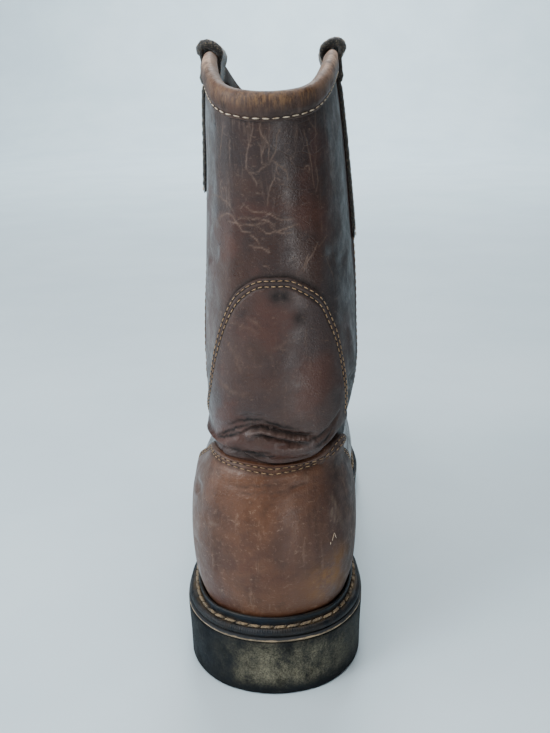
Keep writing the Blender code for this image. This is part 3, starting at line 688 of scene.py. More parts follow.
def seam_steps(ring, turn):
    """The vamp and the front quarter lie over the back quarter."""
    vamp = ease(vamp_side(ring, turn) / 0.10) * ease((np.abs(turn) - 0.34) / 0.02)
    front = ease((np.abs(turn) - SIDE_SEAM) / 0.008) * ease((ring - 5.0) / 0.5)
    return SEAM_STEP * np.maximum(front, 0) * (1 - vamp) + 2 * SEAM_STEP * vamp


# Meshes

def smooth_object(name, data, material):
    data.materials.append(material)
    for face in data.polygons:
        face.use_smooth = True
    made = bpy.data.objects.new(name, data)
    bpy.context.collection.objects.link(made)
    return made


def keep(name, data, material):
    """An object for a finished mesh, smooth and riding on the boot."""
    piece = smooth_object(name, data, material)
    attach(piece, "root")
    return piece


SAME_PLACE = 0.000001


def woven_grid(name, columns, rows, place, material, traits=()):
    """A grid, shaped by place(column, row), with its doubles merged.

    place returns points in the boot's own coordinates, then one array for each
    trait, which the material reads as an attribute.
    """
    grid = bmesh.new()
    bmesh.ops.create_grid(grid, x_segments=columns, y_segments=rows, size=1)
    layers = [grid.verts.layers.float.new(trait) for trait in traits]
    flat = np.array([vertex.co[:2] for vertex in grid.verts])
    column = np.rint((flat[:, 0] + 1) / 2 * columns).astype(int)
    row = np.rint((flat[:, 1] + 1) / 2 * rows).astype(int)
    made = place(column, row)
    points, values = made[0], made[1:]
    for number, vertex in enumerate(grid.verts):
        vertex.co = points[number] + SEAT
        for layer, value in zip(layers, values):
            vertex[layer] = value[number]
    bmesh.ops.remove_doubles(grid, verts=grid.verts, dist=SAME_PLACE)
    bmesh.ops.recalc_face_normals(grid, faces=grid.faces)
    data = bpy.data.meshes.new(name)
    grid.to_mesh(data)
    grid.free()
    return keep(name, data, material)


def crowded_turns(count):
    """Signed turns once round, close together at the back."""
    s = np.arange(count) / count * 2 - 1
    return s * (0.45 + 0.55 * s * s)


def by_length(points, count):
    """Shares of its points at which an even walk along a line stands, and its length."""
    far = walk_length(points)
    shares = np.interp(np.linspace(0, far[-1], count), far, np.linspace(0, 1, len(far)))
    return shares, far[-1]


# Materials

def tone(red, green, blue):
    """A colour as a screen shows it, 0 to 255, made linear."""
    shares = [value / 255 for value in (red, green, blue)]
    return (*[s / 12.92 if s <= 0.04045 else ((s + 0.055) / 1.055) ** 2.4 for s in shares], 1.0)


class Recipe:
    """A material's nodes, added one by one."""

    def __init__(self, name, roughness=0.5, coat=0.0, coat_roughness=0.3, sheen=0.0, level=0.5):
        self.material = bpy.data.materials.new(name)
        self.material.use_nodes = True
        self.tree = self.material.node_tree
        self.shader = self.tree.nodes["Principled BSDF"]
        constants = {
            "Roughness": roughness, "Coat Weight": coat, "Coat Roughness": coat_roughness,
            "Sheen Weight": sheen, "Specular IOR Level": level,
        }
        for key, value in constants.items():
            self.shader.inputs[key].default_value = value
        self.place = self.node("ShaderNodeTexCoord", out="Object")

    def node(self, kind, inputs=None, out=0, **settings):
        made = self.tree.nodes.new(kind)
        for key, value in settings.items():
            setattr(made, key, value)
        for key, value in (inputs or {}).items():
            if isinstance(value, bpy.types.NodeSocket):
                self.tree.links.new(value, made.inputs[key])
            else:
                made.inputs[key].default_value = value
        return made.outputs[out]

    def trait(self, name):
        return self.node("ShaderNodeAttribute", out="Fac", attribute_name=name)

    def stretched(self, x, y, z):
        return self.node("ShaderNodeMapping", {"Vector": self.place, "Scale": (x, y, z)})

    def noise(self, scale, detail=4.0, rough=0.6, where=None, bend=0.0):
        inputs = {"Vector": where or self.place, "Scale": scale, "Detail": detail,
                  "Roughness": rough, "Distortion": bend}
        return self.node("ShaderNodeTexNoise", inputs)

    def cells(self, scale, where=None, feature="F1"):
        inputs = {"Vector": where or self.place, "Scale": scale, "Randomness": 1.0}
        return self.node("ShaderNodeTexVoronoi", inputs, out="Distance", feature=feature)

    def band(self, value, low, high, start=0.0, end=1.0):
        inputs = {0: value, 1: low, 2: high, 3: start, 4: end}
        return self.node("ShaderNodeMapRange", inputs, interpolation_type="SMOOTHSTEP")

    def sum(self, *values):
        total = values[0]
        for value in values[1:]:
            total = self.node("ShaderNodeMath", {0: total, 1: value}, operation="ADD")
        return total

    def times(self, *values):
        total = values[0]
        for value in values[1:]:
            total = self.node("ShaderNodeMath", {0: total, 1: value}, operation="MULTIPLY")
        return total

    def blend(self, share, first, second):
        return self.node("ShaderNodeMix", {0: share, 6: first, 7: second}, out=2, data_type="RGBA")

    def warped(self, amount, scale):
        """Places shifted by a noise, so that cells lose their straight edges."""
        inputs = {"Vector": self.place, "Scale": scale}
        colour = self.node("ShaderNodeTexNoise", inputs, out="Color")
        amounts = {0: colour, 1: (amount,) * 3}
        shift = self.node("ShaderNodeVectorMath", amounts, operation="MULTIPLY")
        return self.node("ShaderNodeVectorMath", {0: self.place, 1: shift}, operation="ADD")

    def height(self, axis="Z"):
        """The height of each place, or its place along another axis."""
        return self.node("ShaderNodeSeparateXYZ", {0: self.place}, out=axis)

    def finish(self, colour, roughness, bump, depth):
        """Colour, roughness and a bump of a depth in metres go to the shader."""
        normal = self.node("ShaderNodeBump", {"Strength": 1.0, "Distance": depth, "Height": bump})
        for key, value in (("Base Color", colour), ("Roughness", roughness), ("Normal", normal)):
            if isinstance(value, bpy.types.NodeSocket):
                self.tree.links.new(value, self.shader.inputs[key])
            else:
                self.shader.inputs[key].default_value = value
        return self.material


def leather(name, main, warm, deep, worn, gloss=0.42, crackle=0.0, redness=0.0, coat=0.04):
    """Oiled leather with grain, clouds, wear, creases, painted shade and sheen, and a rough flesh
    side.
    """
    r = Recipe(name, coat=coat, coat_roughness=0.25, level=0.34)
    cloud = r.noise(24, 5, 0.6, bend=0.4)
    patch = r.noise(85, 5, 0.65)
    speck = r.noise(420, 3, 0.7)
    streak = r.noise(60, 4, 0.6, r.stretched(1, 1, 0.18))
    colour = r.blend(r.band(cloud, 0.40, 0.62), main, warm)
    colour = r.blend(r.band(patch, 0.50, 0.78, 0, 0.55), colour, deep)
    colour = r.blend(r.band(streak, 0.56, 0.74, 0, 0.35), colour, deep)
    colour = r.blend(r.band(speck, 0.60, 0.82, 0, 0.35), colour, worn)
    reddish = r.times(r.band(r.noise(30, 4, 0.55), 0.50, 0.66), redness)
    colour = r.blend(reddish, colour, tone(78, 42, 31))
    bent = r.warped(0.011, 70)
    lines = r.band(r.cells(95, bent, "DISTANCE_TO_EDGE"), 0.0, 0.022, 1, 0)
    mask = r.times(r.band(r.noise(38, 3), 0.50, 0.66), r.band(r.height(), 0.19, 0.22), crackle)
    lines = r.times(lines, mask)
    drips = r.times(r.band(r.noise(300, 3, 0.6, r.stretched(1, 1, 0.10)), 0.58, 0.70, 0, 0.3),
                    r.band(r.height(), 0.228, 0.246), crackle)
    colour = r.blend(drips, colour, worn)
    veins = r.times(r.trait("vein"), r.band(r.noise(300, 3, 0.7), 0.30, 0.62, 0.35, 1.0))
    hair = r.noise(330, 4, 0.75, r.stretched(1, 1, 0.10), bend=0.3)
    colour = r.blend(r.band(hair, 0.56, 0.72, 0, 0.22), colour, worn)
    scratch = r.noise(1100, 4, 0.8, r.stretched(0.3, 0.3, 0.5), bend=0.6)
    colour = r.blend(r.band(scratch, 0.56, 0.70, 0, 0.40), colour, worn)
    colour = r.blend(r.band(scratch, 0.28, 0.44, 0.35, 0), colour, deep)
    colour = r.blend(r.times(lines, 0.16), colour, worn)
    colour = r.blend(r.times(veins, 0.64), colour, worn)
    # pale: painted sheen and highlights, with pale scratches on the counter
    pale = r.times(r.trait("pale"), r.band(r.noise(190, 5, 0.75), 0.34, 0.66))
    colour = r.blend(pale, colour, tone(104, 92, 84))
    ochre = r.times(r.trait("ochre"), r.band(r.noise(120, 4, 0.7), 0.30, 0.60))
    colour = r.blend(ochre, colour, tone(134, 88, 40))
    # dark: painted shade in folds, hollows, under edges and on the side away from the lights, with
    # dark spots, stitch grooves and streaks
    dark = r.times(r.trait("dark"), r.band(r.noise(240, 4, 0.7), 0.25, 0.60, 0.35, 1.0))
    colour = r.blend(dark, colour, tone(16, 12, 11))
    flesh = r.blend(r.noise(160, 5, 0.7), tone(112, 92, 74), tone(74, 58, 46))
    inside = r.band(r.trait("inside"), 0.4, 0.6)
    colour = r.blend(inside, colour, flesh)
    rough = r.band(r.noise(120, 4, 0.7), 0.3, 0.7, gloss - 0.08, gloss + 0.14)
    rough = r.sum(rough, r.times(veins, 0.15), r.times(pale, 0.25), r.times(inside, 0.4),
                  r.times(r.trait("dark"), 0.45))
    grain = r.band(r.cells(1050, r.warped(0.0012, 300)), 0.1, 0.7, 0, 1)
    pores = r.band(r.cells(620), 0.0, 0.25, -1, 0)
    bump = r.sum(r.times(grain, 0.30), r.times(pores, 0.20), r.times(patch, 1.4),
                 r.times(cloud, 2.0), r.times(speck, 0.45), r.times(lines, -0.5),
                 r.times(hair, 0.45), r.times(scratch, 0.35))
    return r.finish(colour, rough, bump, 0.00016)


def collar_leather():
    """Warm brown binding, rubbed pale on its roll and stained ochre."""
    r = Recipe("binding", level=0.3)
    cloud, patch = r.noise(40, 5, 0.65), r.noise(150, 5, 0.7)
    speck = r.noise(620, 3, 0.7)
    colour = r.blend(r.band(cloud, 0.35, 0.65), tone(56, 39, 34), tone(74, 50, 40))
    colour = r.blend(r.band(patch, 0.48, 0.72, 0, 0.7), colour, tone(36, 25, 23))
    folds = r.noise(150, 4, 0.7, r.stretched(1, 1, 0.16))
    colour = r.blend(r.band(folds, 0.54, 0.72, 0, 0.4), colour, tone(104, 80, 66))
    colour = r.blend(r.band(folds, 0.30, 0.44, 0.6, 0), colour, tone(32, 21, 18))
    rub = r.times(r.trait("rub"), r.band(r.noise(130, 6, 0.8), 0.34, 0.66))
    colour = r.blend(rub, colour, tone(176, 148, 128))
    stain = r.band(r.noise(800, 4, 0.75, r.stretched(1, 1, 0.18)), 0.42, 0.64)
    ochre = r.times(r.trait("ochre"), stain)
    colour = r.blend(r.times(ochre, 0.7), colour, tone(136, 102, 68))
    colour = r.blend(r.band(speck, 0.62, 0.80, 0, 0.6), colour, tone(50, 33, 26))
    colour = r.blend(r.times(r.trait("dark"), 0.8), colour, tone(30, 22, 18))
    inside = r.band(r.trait("inside"), 0.4, 0.6)
    colour = r.blend(r.times(inside, 0.7), colour, tone(104, 82, 66))
    rough = r.sum(r.band(patch, 0.3, 0.7, 0.46, 0.64), r.times(rub, 0.2))
    grain = r.cells(1100, r.warped(0.0010, 320))
    bump = r.sum(r.times(grain, 0.4), r.times(patch, 1.6), r.times(speck, 0.6), r.times(folds, 2.5))
    return r.finish(colour, rough, bump, 0.00018)


def strap_leather():
    """Dark strap with black, frayed and dusty edges and a pale inner face."""
    r = Recipe("strap leather", coat=0.05, sheen=0.3)
    cloud, patch, fuzz = r.noise(70, 5, 0.6), r.noise(260, 5, 0.7), r.noise(1300, 3, 0.8)
    colour = r.blend(r.band(cloud, 0.35, 0.65), tone(44, 31, 27), tone(62, 45, 38))
    colour = r.blend(r.band(patch, 0.52, 0.74, 0, 0.6), colour, tone(22, 18, 17))
    inner = r.blend(r.band(patch, 0.35, 0.7), tone(150, 146, 140), tone(112, 104, 98))
    colour = r.blend(r.band(r.trait("inside"), 0.4, 0.6), colour, inner)
    edge = r.blend(r.band(fuzz, 0.52, 0.66), tone(13, 13, 14), tone(112, 98, 76))
    colour = r.blend(r.band(r.trait("edge"), 0.35, 0.65), colour, edge)
    rough = r.sum(r.band(patch, 0.3, 0.7, 0.5, 0.7), r.times(r.trait("edge"), 0.3))
    bump = r.sum(r.times(patch, 1.4), r.times(fuzz, r.sum(r.times(r.trait("edge"), 2.4), 0.5)))
    return r.finish(colour, rough, bump, 0.00025)


def thread(name, main, dark, gloss=0.65):
    """Waxed thread with twisted plies and grime."""
    r = Recipe(name, sheen=0.2)
    grime, fine = r.noise(330, 5, 0.7), r.noise(2600, 2, 0.6)
    colour = r.blend(r.band(grime, 0.42, 0.68), main, dark)
    colour = r.blend(r.band(fine, 0.55, 0.75, 0, 0.5), colour, dark)
    bump = r.sum(r.noise(2200, 2, 0.5, r.stretched(1, 1, 0.4)), fine)
    return r.finish(colour, r.band(grime, 0.3, 0.7, gloss, gloss + 0.2), bump, 0.00015)


# Dark lumps that stand for the needle holes: painted shade of the holes
def needle_dark():
    r = Recipe("needle dark", roughness=0.9)
    colour = r.blend(r.noise(500), tone(16, 12, 11), tone(34, 26, 22))
    return r.finish(colour, r.band(r.noise(300), 0.3, 0.7, 0.8, 0.95), r.noise(900), 0.0001)


def welt_rubber():
    """Blue-black strip, dusty in its corners and along its shoulder."""
    r = Recipe("welt rubber", level=0.25)
    cloud, patch, fine = r.noise(45, 5), r.noise(240, 5, 0.7), r.noise(900, 3, 0.7)
    colour = r.blend(r.band(cloud, 0.35, 0.65), tone(6, 13, 20), tone(12, 21, 31))
    colour = r.blend(r.band(patch, 0.50, 0.75, 0, 0.5), colour, tone(13, 15, 18))
    dust = r.times(r.trait("dust"), r.band(r.noise(150, 5, 0.75), 0.34, 0.62))
    colour = r.blend(r.times(dust, 0.8), colour, tone(102, 84, 60))
    colour = r.blend(r.band(fine, 0.64, 0.80, 0, 0.25), colour, tone(90, 88, 84))
    rough = r.sum(r.band(patch, 0.3, 0.7, 0.34, 0.54), r.times(dust, 0.4))
    bump = r.sum(r.times(patch, 1.2), r.times(fine, 0.6), r.times(cloud, 1.0))
    return r.finish(colour, rough, bump, 0.00015)


def sole_rubber():
    """Charcoal rubber with beige dust towards the middle and scuffed corners."""
    r = Recipe("sole rubber", level=0.12)
    cloud = r.noise(26, 6, 0.65, bend=0.5)
    patch, fine = r.noise(120, 6, 0.75), r.noise(1300, 5, 0.8)
    smear = r.noise(95, 8, 0.82, r.stretched(1, 1, 0.7))
    colour = r.blend(r.band(cloud, 0.35, 0.65), tone(5, 10, 16), tone(10, 17, 25))
    middle = r.times(r.band(r.height("X"), -0.028, 0.004),
                     r.band(r.height("X"), 0.022, 0.040, 1, 0.25))
    level = r.times(r.band(r.height(), 0.002, 0.010), r.band(r.height(), 0.020, 0.029, 1, 0.3))
    speckle = r.times(r.band(smear, 0.34, 0.64, 0.15, 1.0), r.band(fine, 0.36, 0.62, 0.3, 1.0))
    back = r.band(r.height("Y"), -0.10, -0.06, 1, 0.3)
    dust = r.times(speckle, r.sum(r.times(middle, level, back), 0.05))
    colour = r.blend(dust, colour, tone(128, 122, 102))
    colour = r.blend(r.band(patch, 0.52, 0.70, 0, 0.7), colour, tone(10, 11, 13))
    scuff = r.times(r.band(r.noise(210, 4, 0.7, r.stretched(0.25, 1, 2.2)), 0.60, 0.72), 0.6)
    colour = r.blend(r.times(scuff, 0.3), colour, tone(110, 106, 96))
    low = r.times(r.band(r.height(), 0.000, 0.007, 1, 0), r.band(patch, 0.35, 0.6))
    colour = r.blend(r.times(low, 0.6), colour, tone(16, 17, 19))
    rough = r.sum(r.band(patch, 0.3, 0.7, 0.62, 0.80), r.times(dust, 0.15))
    bump = r.sum(r.times(fine, 0.6), r.times(patch, 1.6), r.times(smear, 0.8), r.times(scuff, -0.5))
    return r.finish(colour, rough, bump, 0.00022)


def tan_rubber():
    r = Recipe("tan edge", sheen=0.1)
    patch, fine = r.noise(180, 6, 0.75, r.stretched(1, 1, 3)), r.noise(900, 3, 0.7)
    colour = r.blend(r.band(patch, 0.36, 0.60), tone(166, 142, 110), tone(104, 90, 72))
    colour = r.blend(r.band(fine, 0.60, 0.78, 0, 0.7), colour, tone(40, 36, 32))
    shared = r.sum(r.trait("level"), r.times(r.sum(patch, -0.5), 0.5))
    colour = r.blend(r.band(shared, 0.60, 0.74), colour, tone(18, 22, 27))
    bump = r.sum(patch, r.times(fine, 0.6))
    return r.finish(colour, r.band(patch, 0.3, 0.7, 0.65, 0.85), bump, 0.0002)


def insole_board():
    r = Recipe("insole board")
    patch, fine = r.noise(90, 6, 0.7), r.noise(1100, 3, 0.7)
    colour = r.blend(r.band(patch, 0.36, 0.64), tone(96, 76, 58), tone(66, 52, 42))
    return r.finish(colour, r.band(patch, 0.3, 0.7, 0.75, 0.92), r.sum(patch, fine), 0.0002)


def table_top():
    r = Recipe("table top", level=0.3)
    patch, fine = r.noise(5, 4), r.noise(240, 4, 0.7)
    colour = r.blend(r.band(patch, 0.3, 0.7), tone(206, 222, 230), tone(198, 215, 224))
    return r.finish(colour, r.band(fine, 0.3, 0.7, 0.55, 0.65), fine, 0.00004)


# Leather pieces

INSIDE_RINGS = 28
UPPER_COLUMNS = 380
UPPER_RISES = ((0.0, 0.33, 36), (0.33, 0.66, 64), (0.66, 1.0, 130))
PANEL_THICK = 0.0017
COUNTER_THICK = 0.0021
UNDER = 0.00005
EDGE_ROUND = 0.0011
# A stitch row presses the leather in
SEAM_WIDTH = 0.0009
SEAM_PRESS = 0.00035


def strongest(places, lines, width, wander):
    """The strongest of several soft lines at each place."""
    best = np.zeros(len(places))
    for line in lines:
        best = np.maximum(best, line_strength(places, line, width, wander, LINE_ENDS))
    return best


def spots(places, centres):
    """Soft round patches: turn, rise, radius in metres, strength."""
    total = np.zeros(len(places))
    for turn, rise, radius, strength in centres:
        far = np.linalg.norm(places - chart([(turn, rise)])[0], axis=1)
        total = np.maximum(total, strength * bell(far, radius))
    return total


def upper_shades(places, turn, rise, ring):
    """How dark and how pale the shaft is: painted shade on its medial side, in hollows and along
    the panel's edge, and a painted sheen on its lateral side.
    """
    beside_seam = np.abs(np.abs(turn) - SIDE_SEAM - 0.004)
    dark = 0.6 * bell(beside_seam, 0.006) * (ring > 6)
    # Painted shade on the shaft along the back panel's edge
    under_arch = bell(line_distance(places, panel_outline())[0], 0.0016)
    # Painted shade over the medial side
    dim = 0.50 * ease((turn - 0.11) / 0.10) * ease((0.48 - turn) / 0.05)
    # Painted shade in two hollows on the medial side
    hollow = spots(places, SHAFT_HOLLOWS)
    dark = np.maximum(np.maximum(dark, 0.8 * under_arch), np.maximum(hollow, dim))
    # Painted sheen over the lateral side, with the pale spots
    side = ease((-turn - 0.10) / 0.14) * ease((turn + 0.62) / 0.16)
    pale = np.maximum(spots(places, SHAFT_PALE), 0.30 * side * ease((rise - 0.3) / 0.3))
    return dark, pale


def make_upper():
    turns = crowded_turns(UPPER_COLUMNS)
    outer = [np.linspace(low, high, count, endpoint=False) for low, high, count in UPPER_RISES]
    outer = ring_of(np.concatenate(outer + [[1.0]]))
    rings = np.concatenate([outer, np.linspace(TOP_RING, 0, INSIDE_RINGS)])

    def place(column, row):
        turn, ring = turns[column % UPPER_COLUMNS], rings[row % len(rings)]
        inside = (row % len(rings)) >= len(outer)
        places = np.stack([turn * HALF_ROUND, rise_of(ring) * SHAFT_HEIGHT], 1)
        base = skin_points(ring, turn)
        vein = strongest(places, VEINS, *VEIN)
        relief = creases(ring, turn) + vamp_creases(base) + seam_steps(ring, turn)
        relief -= VEIN_DEPTH * vein
        relief[inside] = -LEATHER
        points = base + skin_out(ring, turn) * relief[:, None]
        rise = places[:, 1] / SHAFT_HEIGHT
        points[:, 2] -= (UPPER_SHORT + rim_lowering(turn)) * ease((rise - 0.955) / 0.045)
        dark, pale = upper_shades(places, turn, rise, ring)
        return points, vein, dark, pale, inside.astype(float)

    material = leather("dark shaft", tone(50, 35, 32), tone(62, 40, 32), tone(27, 20, 19),
                       tone(120, 97, 83), gloss=0.35, crackle=1.0, redness=0.5)
    piece = woven_grid("upper_leather", UPPER_COLUMNS, len(rings), place, material,
                       ("vein", "dark", "pale", "inside"))
    finish_piece("upper")


def finish_piece(node):
    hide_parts(node)


def panel_place(across, share):
    """Turn and rise on the back panel, from -1 to 1 across and 0 to 1 up."""
    table = np.array(PANEL_EDGE)
    size, foot = np.abs(across), np.array(PANEL_FOOT)
    edges = smooth_between(table[:, 0], table[:, 1:], size) - PANEL_TRIM / SHAFT_HEIGHT
    feet = smooth_between(foot[:, 0], foot[:, 1:], size)
    medial = across > 0
    top = np.where(medial, edges[:, 1], edges[:, 0])
    bottom = np.where(medial, feet[:, 1], feet[:, 0])
    reach = np.where(medial, PANEL_MEDIAL, PANEL_LATERAL)
    return across * reach, mix(bottom, top, share)


def panel_outline():
    across = np.sin(np.linspace(-0.5, 0.5, 81) * np.pi)
    low = np.stack(panel_place(across, np.zeros(81)), 1)
    high = np.stack(panel_place(across[::-1], np.ones(81)), 1)
    return chart(np.concatenate([low, high]))


def panel_row(offset):
    """The panel's top edge, moved inwards, as turn and rise."""
    across = np.sin(np.linspace(-0.492, 0.492, 160) * np.pi)
    edge = chart(np.stack(panel_place(across, np.ones(160)), 1))
    return moved_in(edge, offset)


def moved_in(edge, offset):
    """A line on the leather, moved to the right of its run, as turn and rise."""
    run = unit(np.gradient(edge, axis=0))
    inward = np.stack([run[:, 1], -run[:, 0]], 1)
    return (edge + inward * offset) / [HALF_ROUND, SHAFT_HEIGHT]


def rounded(distance, thick):
    """Height of a leather edge over its border: a quarter circle."""
    share = 1 - np.clip(distance / EDGE_ROUND, 0, 1)
    return UNDER + thick * np.sqrt(1 - share * share)


def crowded(count):
    """Shares from 0 to 1, closer together at both ends."""
    even = np.linspace(0, 1, count + 1)
    return mix(even, (1 - np.cos(np.pi * even)) / 2, 0.6)


def pressed(places, rows):
    """1 along the stitch rows and 0 away from them."""
    deep = np.zeros(len(places))
    for row in rows:
        far = line_distance(places, chart(row[::4]))[0]
        deep = np.maximum(deep, bell(far, SEAM_WIDTH))
    return deep


def overlay_height(border, thick, groove):
    """Height of a sewn-on piece: round at its border, lower along its seams."""
    return rounded(border, thick) - SEAM_PRESS * groove * ease(border / 0.002)


PANEL_COLUMNS, PANEL_ROWS, PANEL_BACK_ROWS = 230, 180, 6
PANEL_CURL = 0.0019
ARCH_ROWS = (0.0012, 0.0036)


def panel_shades(places, turn, low, border, groove):
    """How dark and how pale the panel is: painted shade in its folds and on its medial side, and a
    painted highlight on its lower edge.
    """
    # Painted shade along the fold's creases
    folds = strongest(places, FOLD_SHADES, *FOLD_SHADE)
    # Painted shade over the medial side
    dim = 0.45 * ease((turn - 0.08) / 0.12)
    # Darker along the stitch grooves and at the dark spots, which include painted shade in the
    # fold's pocket
    dark = np.maximum(np.maximum(0.75 * groove, spots(places, PANEL_DARK_SPOTS)), dim)
    dark = np.maximum(dark, np.maximum(0.5 * bell(border, 0.0008), folds))
    # The pale share is a painted highlight along the lateral part of the curled lower edge
    return dark, 0.5 * bell(low, 0.0014) * ease((-turn - 0.10) / 0.05)


def make_panel():
    rows = np.interp(crowded(PANEL_ROWS), [0, 0.55, 1], [0, 0.30, 1])
    shares = np.concatenate([rows, np.linspace(1, 0, PANEL_BACK_ROWS)])
    outline = panel_outline()
    arches = [panel_row(offset) for offset in ARCH_ROWS]

    def place(column, row):
        across = np.sin((column / PANEL_COLUMNS - 0.5) * np.pi)
        row = row % len(shares)
        turn, rise = panel_place(across, shares[row])
        ring = ring_of(rise)
        places = chart(np.stack([turn, rise], 1))
        border = line_distance(places, outline)[0]
        back = row > PANEL_ROWS
        groove = pressed(places, arches)
        scratch = strongest(places, PANEL_SCRATCHES, *PANEL_SCRATCH)
        height = overlay_height(border, PANEL_THICK, groove) - PANEL_SCRATCH_DEPTH * scratch
        low = (rise - panel_place(across, np.zeros(len(places)))[1]) * SHAFT_HEIGHT
        curl = mix(0.45, 1.0, ease((-turn - 0.02) / 0.06)) * ease((0.36 - np.abs(turn)) / 0.08)
        height += PANEL_CURL * curl * bell(low, 0.0045) * ease(border / 0.0015)
        height = np.where(back, UNDER, height)
        points = skin(ring, turn, height + creases(ring, turn))
        dark, pale = panel_shades(places, turn, low, border, groove)
        return points, scratch * 0.5, dark, pale

    material = leather("purple brown panel", tone(59, 44, 41), tone(68, 49, 43), tone(34, 25, 24),
                       tone(108, 84, 70), gloss=0.38, redness=0.5)
    piece = woven_grid("panel_leather", PANEL_COLUMNS, len(shares), place, material,
                       ("vein", "dark", "pale"))
    finish_piece("back_panel")


COUNTER_COLUMNS, COUNTER_ROWS, COUNTER_BACK_ROWS = 190, 64, 6
COUNTER_SEAMS = (0.0021, 0.0040)
COUNTER_SEWN = 0.97
# The first lines are painted shade in the folds under the edge, and the others are faint dark
# streaks
COUNTER_FOLDS = 3


def counter_edge(turns):
    """Rise of the counter's top edge."""
    table = np.array(COUNTER_EDGE)
    edges = smooth_between(table[:, 0], table[:, 1:], np.abs(turns))
    return np.where(turns < 0, edges[:, 0], edges[:, 1])


def counter_row(offset, reach=1.0):
    """The counter's top edge, moved inwards, over a share of its reach."""
    turns = np.linspace(-COUNTER_TIP, COUNTER_TIP, 200) * reach
    return moved_in(chart(np.stack([turns, counter_edge(turns)], 1)), offset)


def counter_shades(places, turn, rise, groove, scratch):
    """How dark and how pale the counter is: painted shade in its folds, a hollow and its medial
    side, and a painted sheen on its lateral side.
    """
    # Painted shade along the folds under the edge, and faint dark streaks
    shade = strongest(places, COUNTER_SHADES, *COUNTER_SHADE)
    streak = strongest(places, COUNTER_SHADES[COUNTER_FOLDS:], *COUNTER_STREAK)
    # Painted shade in the hollow at the upper medial corner
    hollow = ease((turn - 0.10) / 0.06) * ease((rise - 0.24) / 0.05)
    # Painted shade over the medial side
    dim = 0.55 * ease((turn - 0.08) / 0.09)
    dark = np.maximum(0.7 * groove, 0.5 * shade - 0.2 * streak)
    dark = np.maximum(dark, np.maximum(0.7 * hollow, dim))
    # pale: the scratches, and a painted sheen over the lateral side
    return dark, np.maximum(0.9 * scratch, 0.5 * ease((-turn - 0.10) / 0.10))


def make_counter():
    shares = np.concatenate([crowded(COUNTER_ROWS), np.linspace(1, 0, COUNTER_BACK_ROWS)])
    tip = COUNTER_TIP
    edge_turns = np.linspace(-tip, tip, 121)
    top = np.stack([edge_turns, counter_edge(edge_turns)], 1)
    outline = chart(np.concatenate([[[-tip, -0.1]], top, [[tip, -0.1]]]))
    seams = [counter_row(offset) for offset in COUNTER_SEAMS]

    def place(column, row):
        spread = column / COUNTER_COLUMNS * 2 - 1
        turn = tip * np.sin(spread * np.pi / 2) * 0.5 + tip * spread * 0.5
        row = row % len(shares)
        rise = counter_edge(turn) * shares[row]
        ring = ring_of(rise)
        places = chart(np.stack([turn, rise], 1))
        border = line_distance(places, outline)[0]
        groove = pressed(places, seams)
        scratch = strongest(places, COUNTER_SCRATCHES, *COUNTER_SCRATCH)
        height = overlay_height(border, COUNTER_THICK, groove) - COUNTER_SCRATCH_DEPTH * scratch
        height = np.where(row > COUNTER_ROWS, UNDER, height)
        points = skin(ring, turn, height + creases(ring, turn))
        points[:, 2] = np.maximum(points[:, 2], leather_floor(points[:, 1]))
        dark, pale = counter_shades(places, turn, rise, groove, scratch)
        return points, scratch, dark, pale, spots(places, COUNTER_OCHRE)

    material = leather("red brown counter", tone(74, 47, 35), tone(96, 62, 43), tone(42, 27, 20),
                       tone(146, 118, 98), gloss=0.42, redness=0.4)
    piece = woven_grid("counter_leather", COUNTER_COLUMNS, len(shares), place, material,
                       ("vein", "dark", "pale", "ochre"))
    finish_piece("counter")


# Collar and straps

def rim_rings(turn, drop):
    """The ring at a distance under the leather's top edge, for each place."""
    unique, where = np.unique(np.round(turn, 7), return_inverse=True)
    levels = np.arange(TOP_RING, 5.0, -0.05)
    grid = skin_points(np.tile(levels, len(unique)), np.repeat(unique, len(levels)))
    grid = grid.reshape(len(unique), len(levels), 3)
    far = np.concatenate([np.zeros((len(unique), 1)),
                          np.cumsum(np.linalg.norm(np.diff(grid, axis=1), axis=2), axis=1)], 1)
    rings = np.empty(len(turn))
    for k in range(len(unique)):
        mine = where == k
        rings[mine] = np.interp(drop[mine], far[k], levels)
    return rings


def rim_place(turn, drop, lift):
    """A point under, or above for drops below 0, the leather's top edge."""
    turn, drop, lift = (np.asarray(v, float) for v in np.broadcast_arrays(turn, drop, lift))
    up = unit(skin_up(np.full(len(turn), float(TOP_RING)), turn))
    points = skin(rim_rings(turn, np.maximum(drop, 0)), turn, lift)
    return points + up * np.maximum(-drop, 0)[:, None]


COLLAR_COLUMNS = 420
COLLAR_PITCH = 0.0040
COLLAR_EDGE = 0.0086
COLLAR_SEAM = 0.0075
RIM_LOWER = 0.0016
UPPER_SHORT = 0.0030


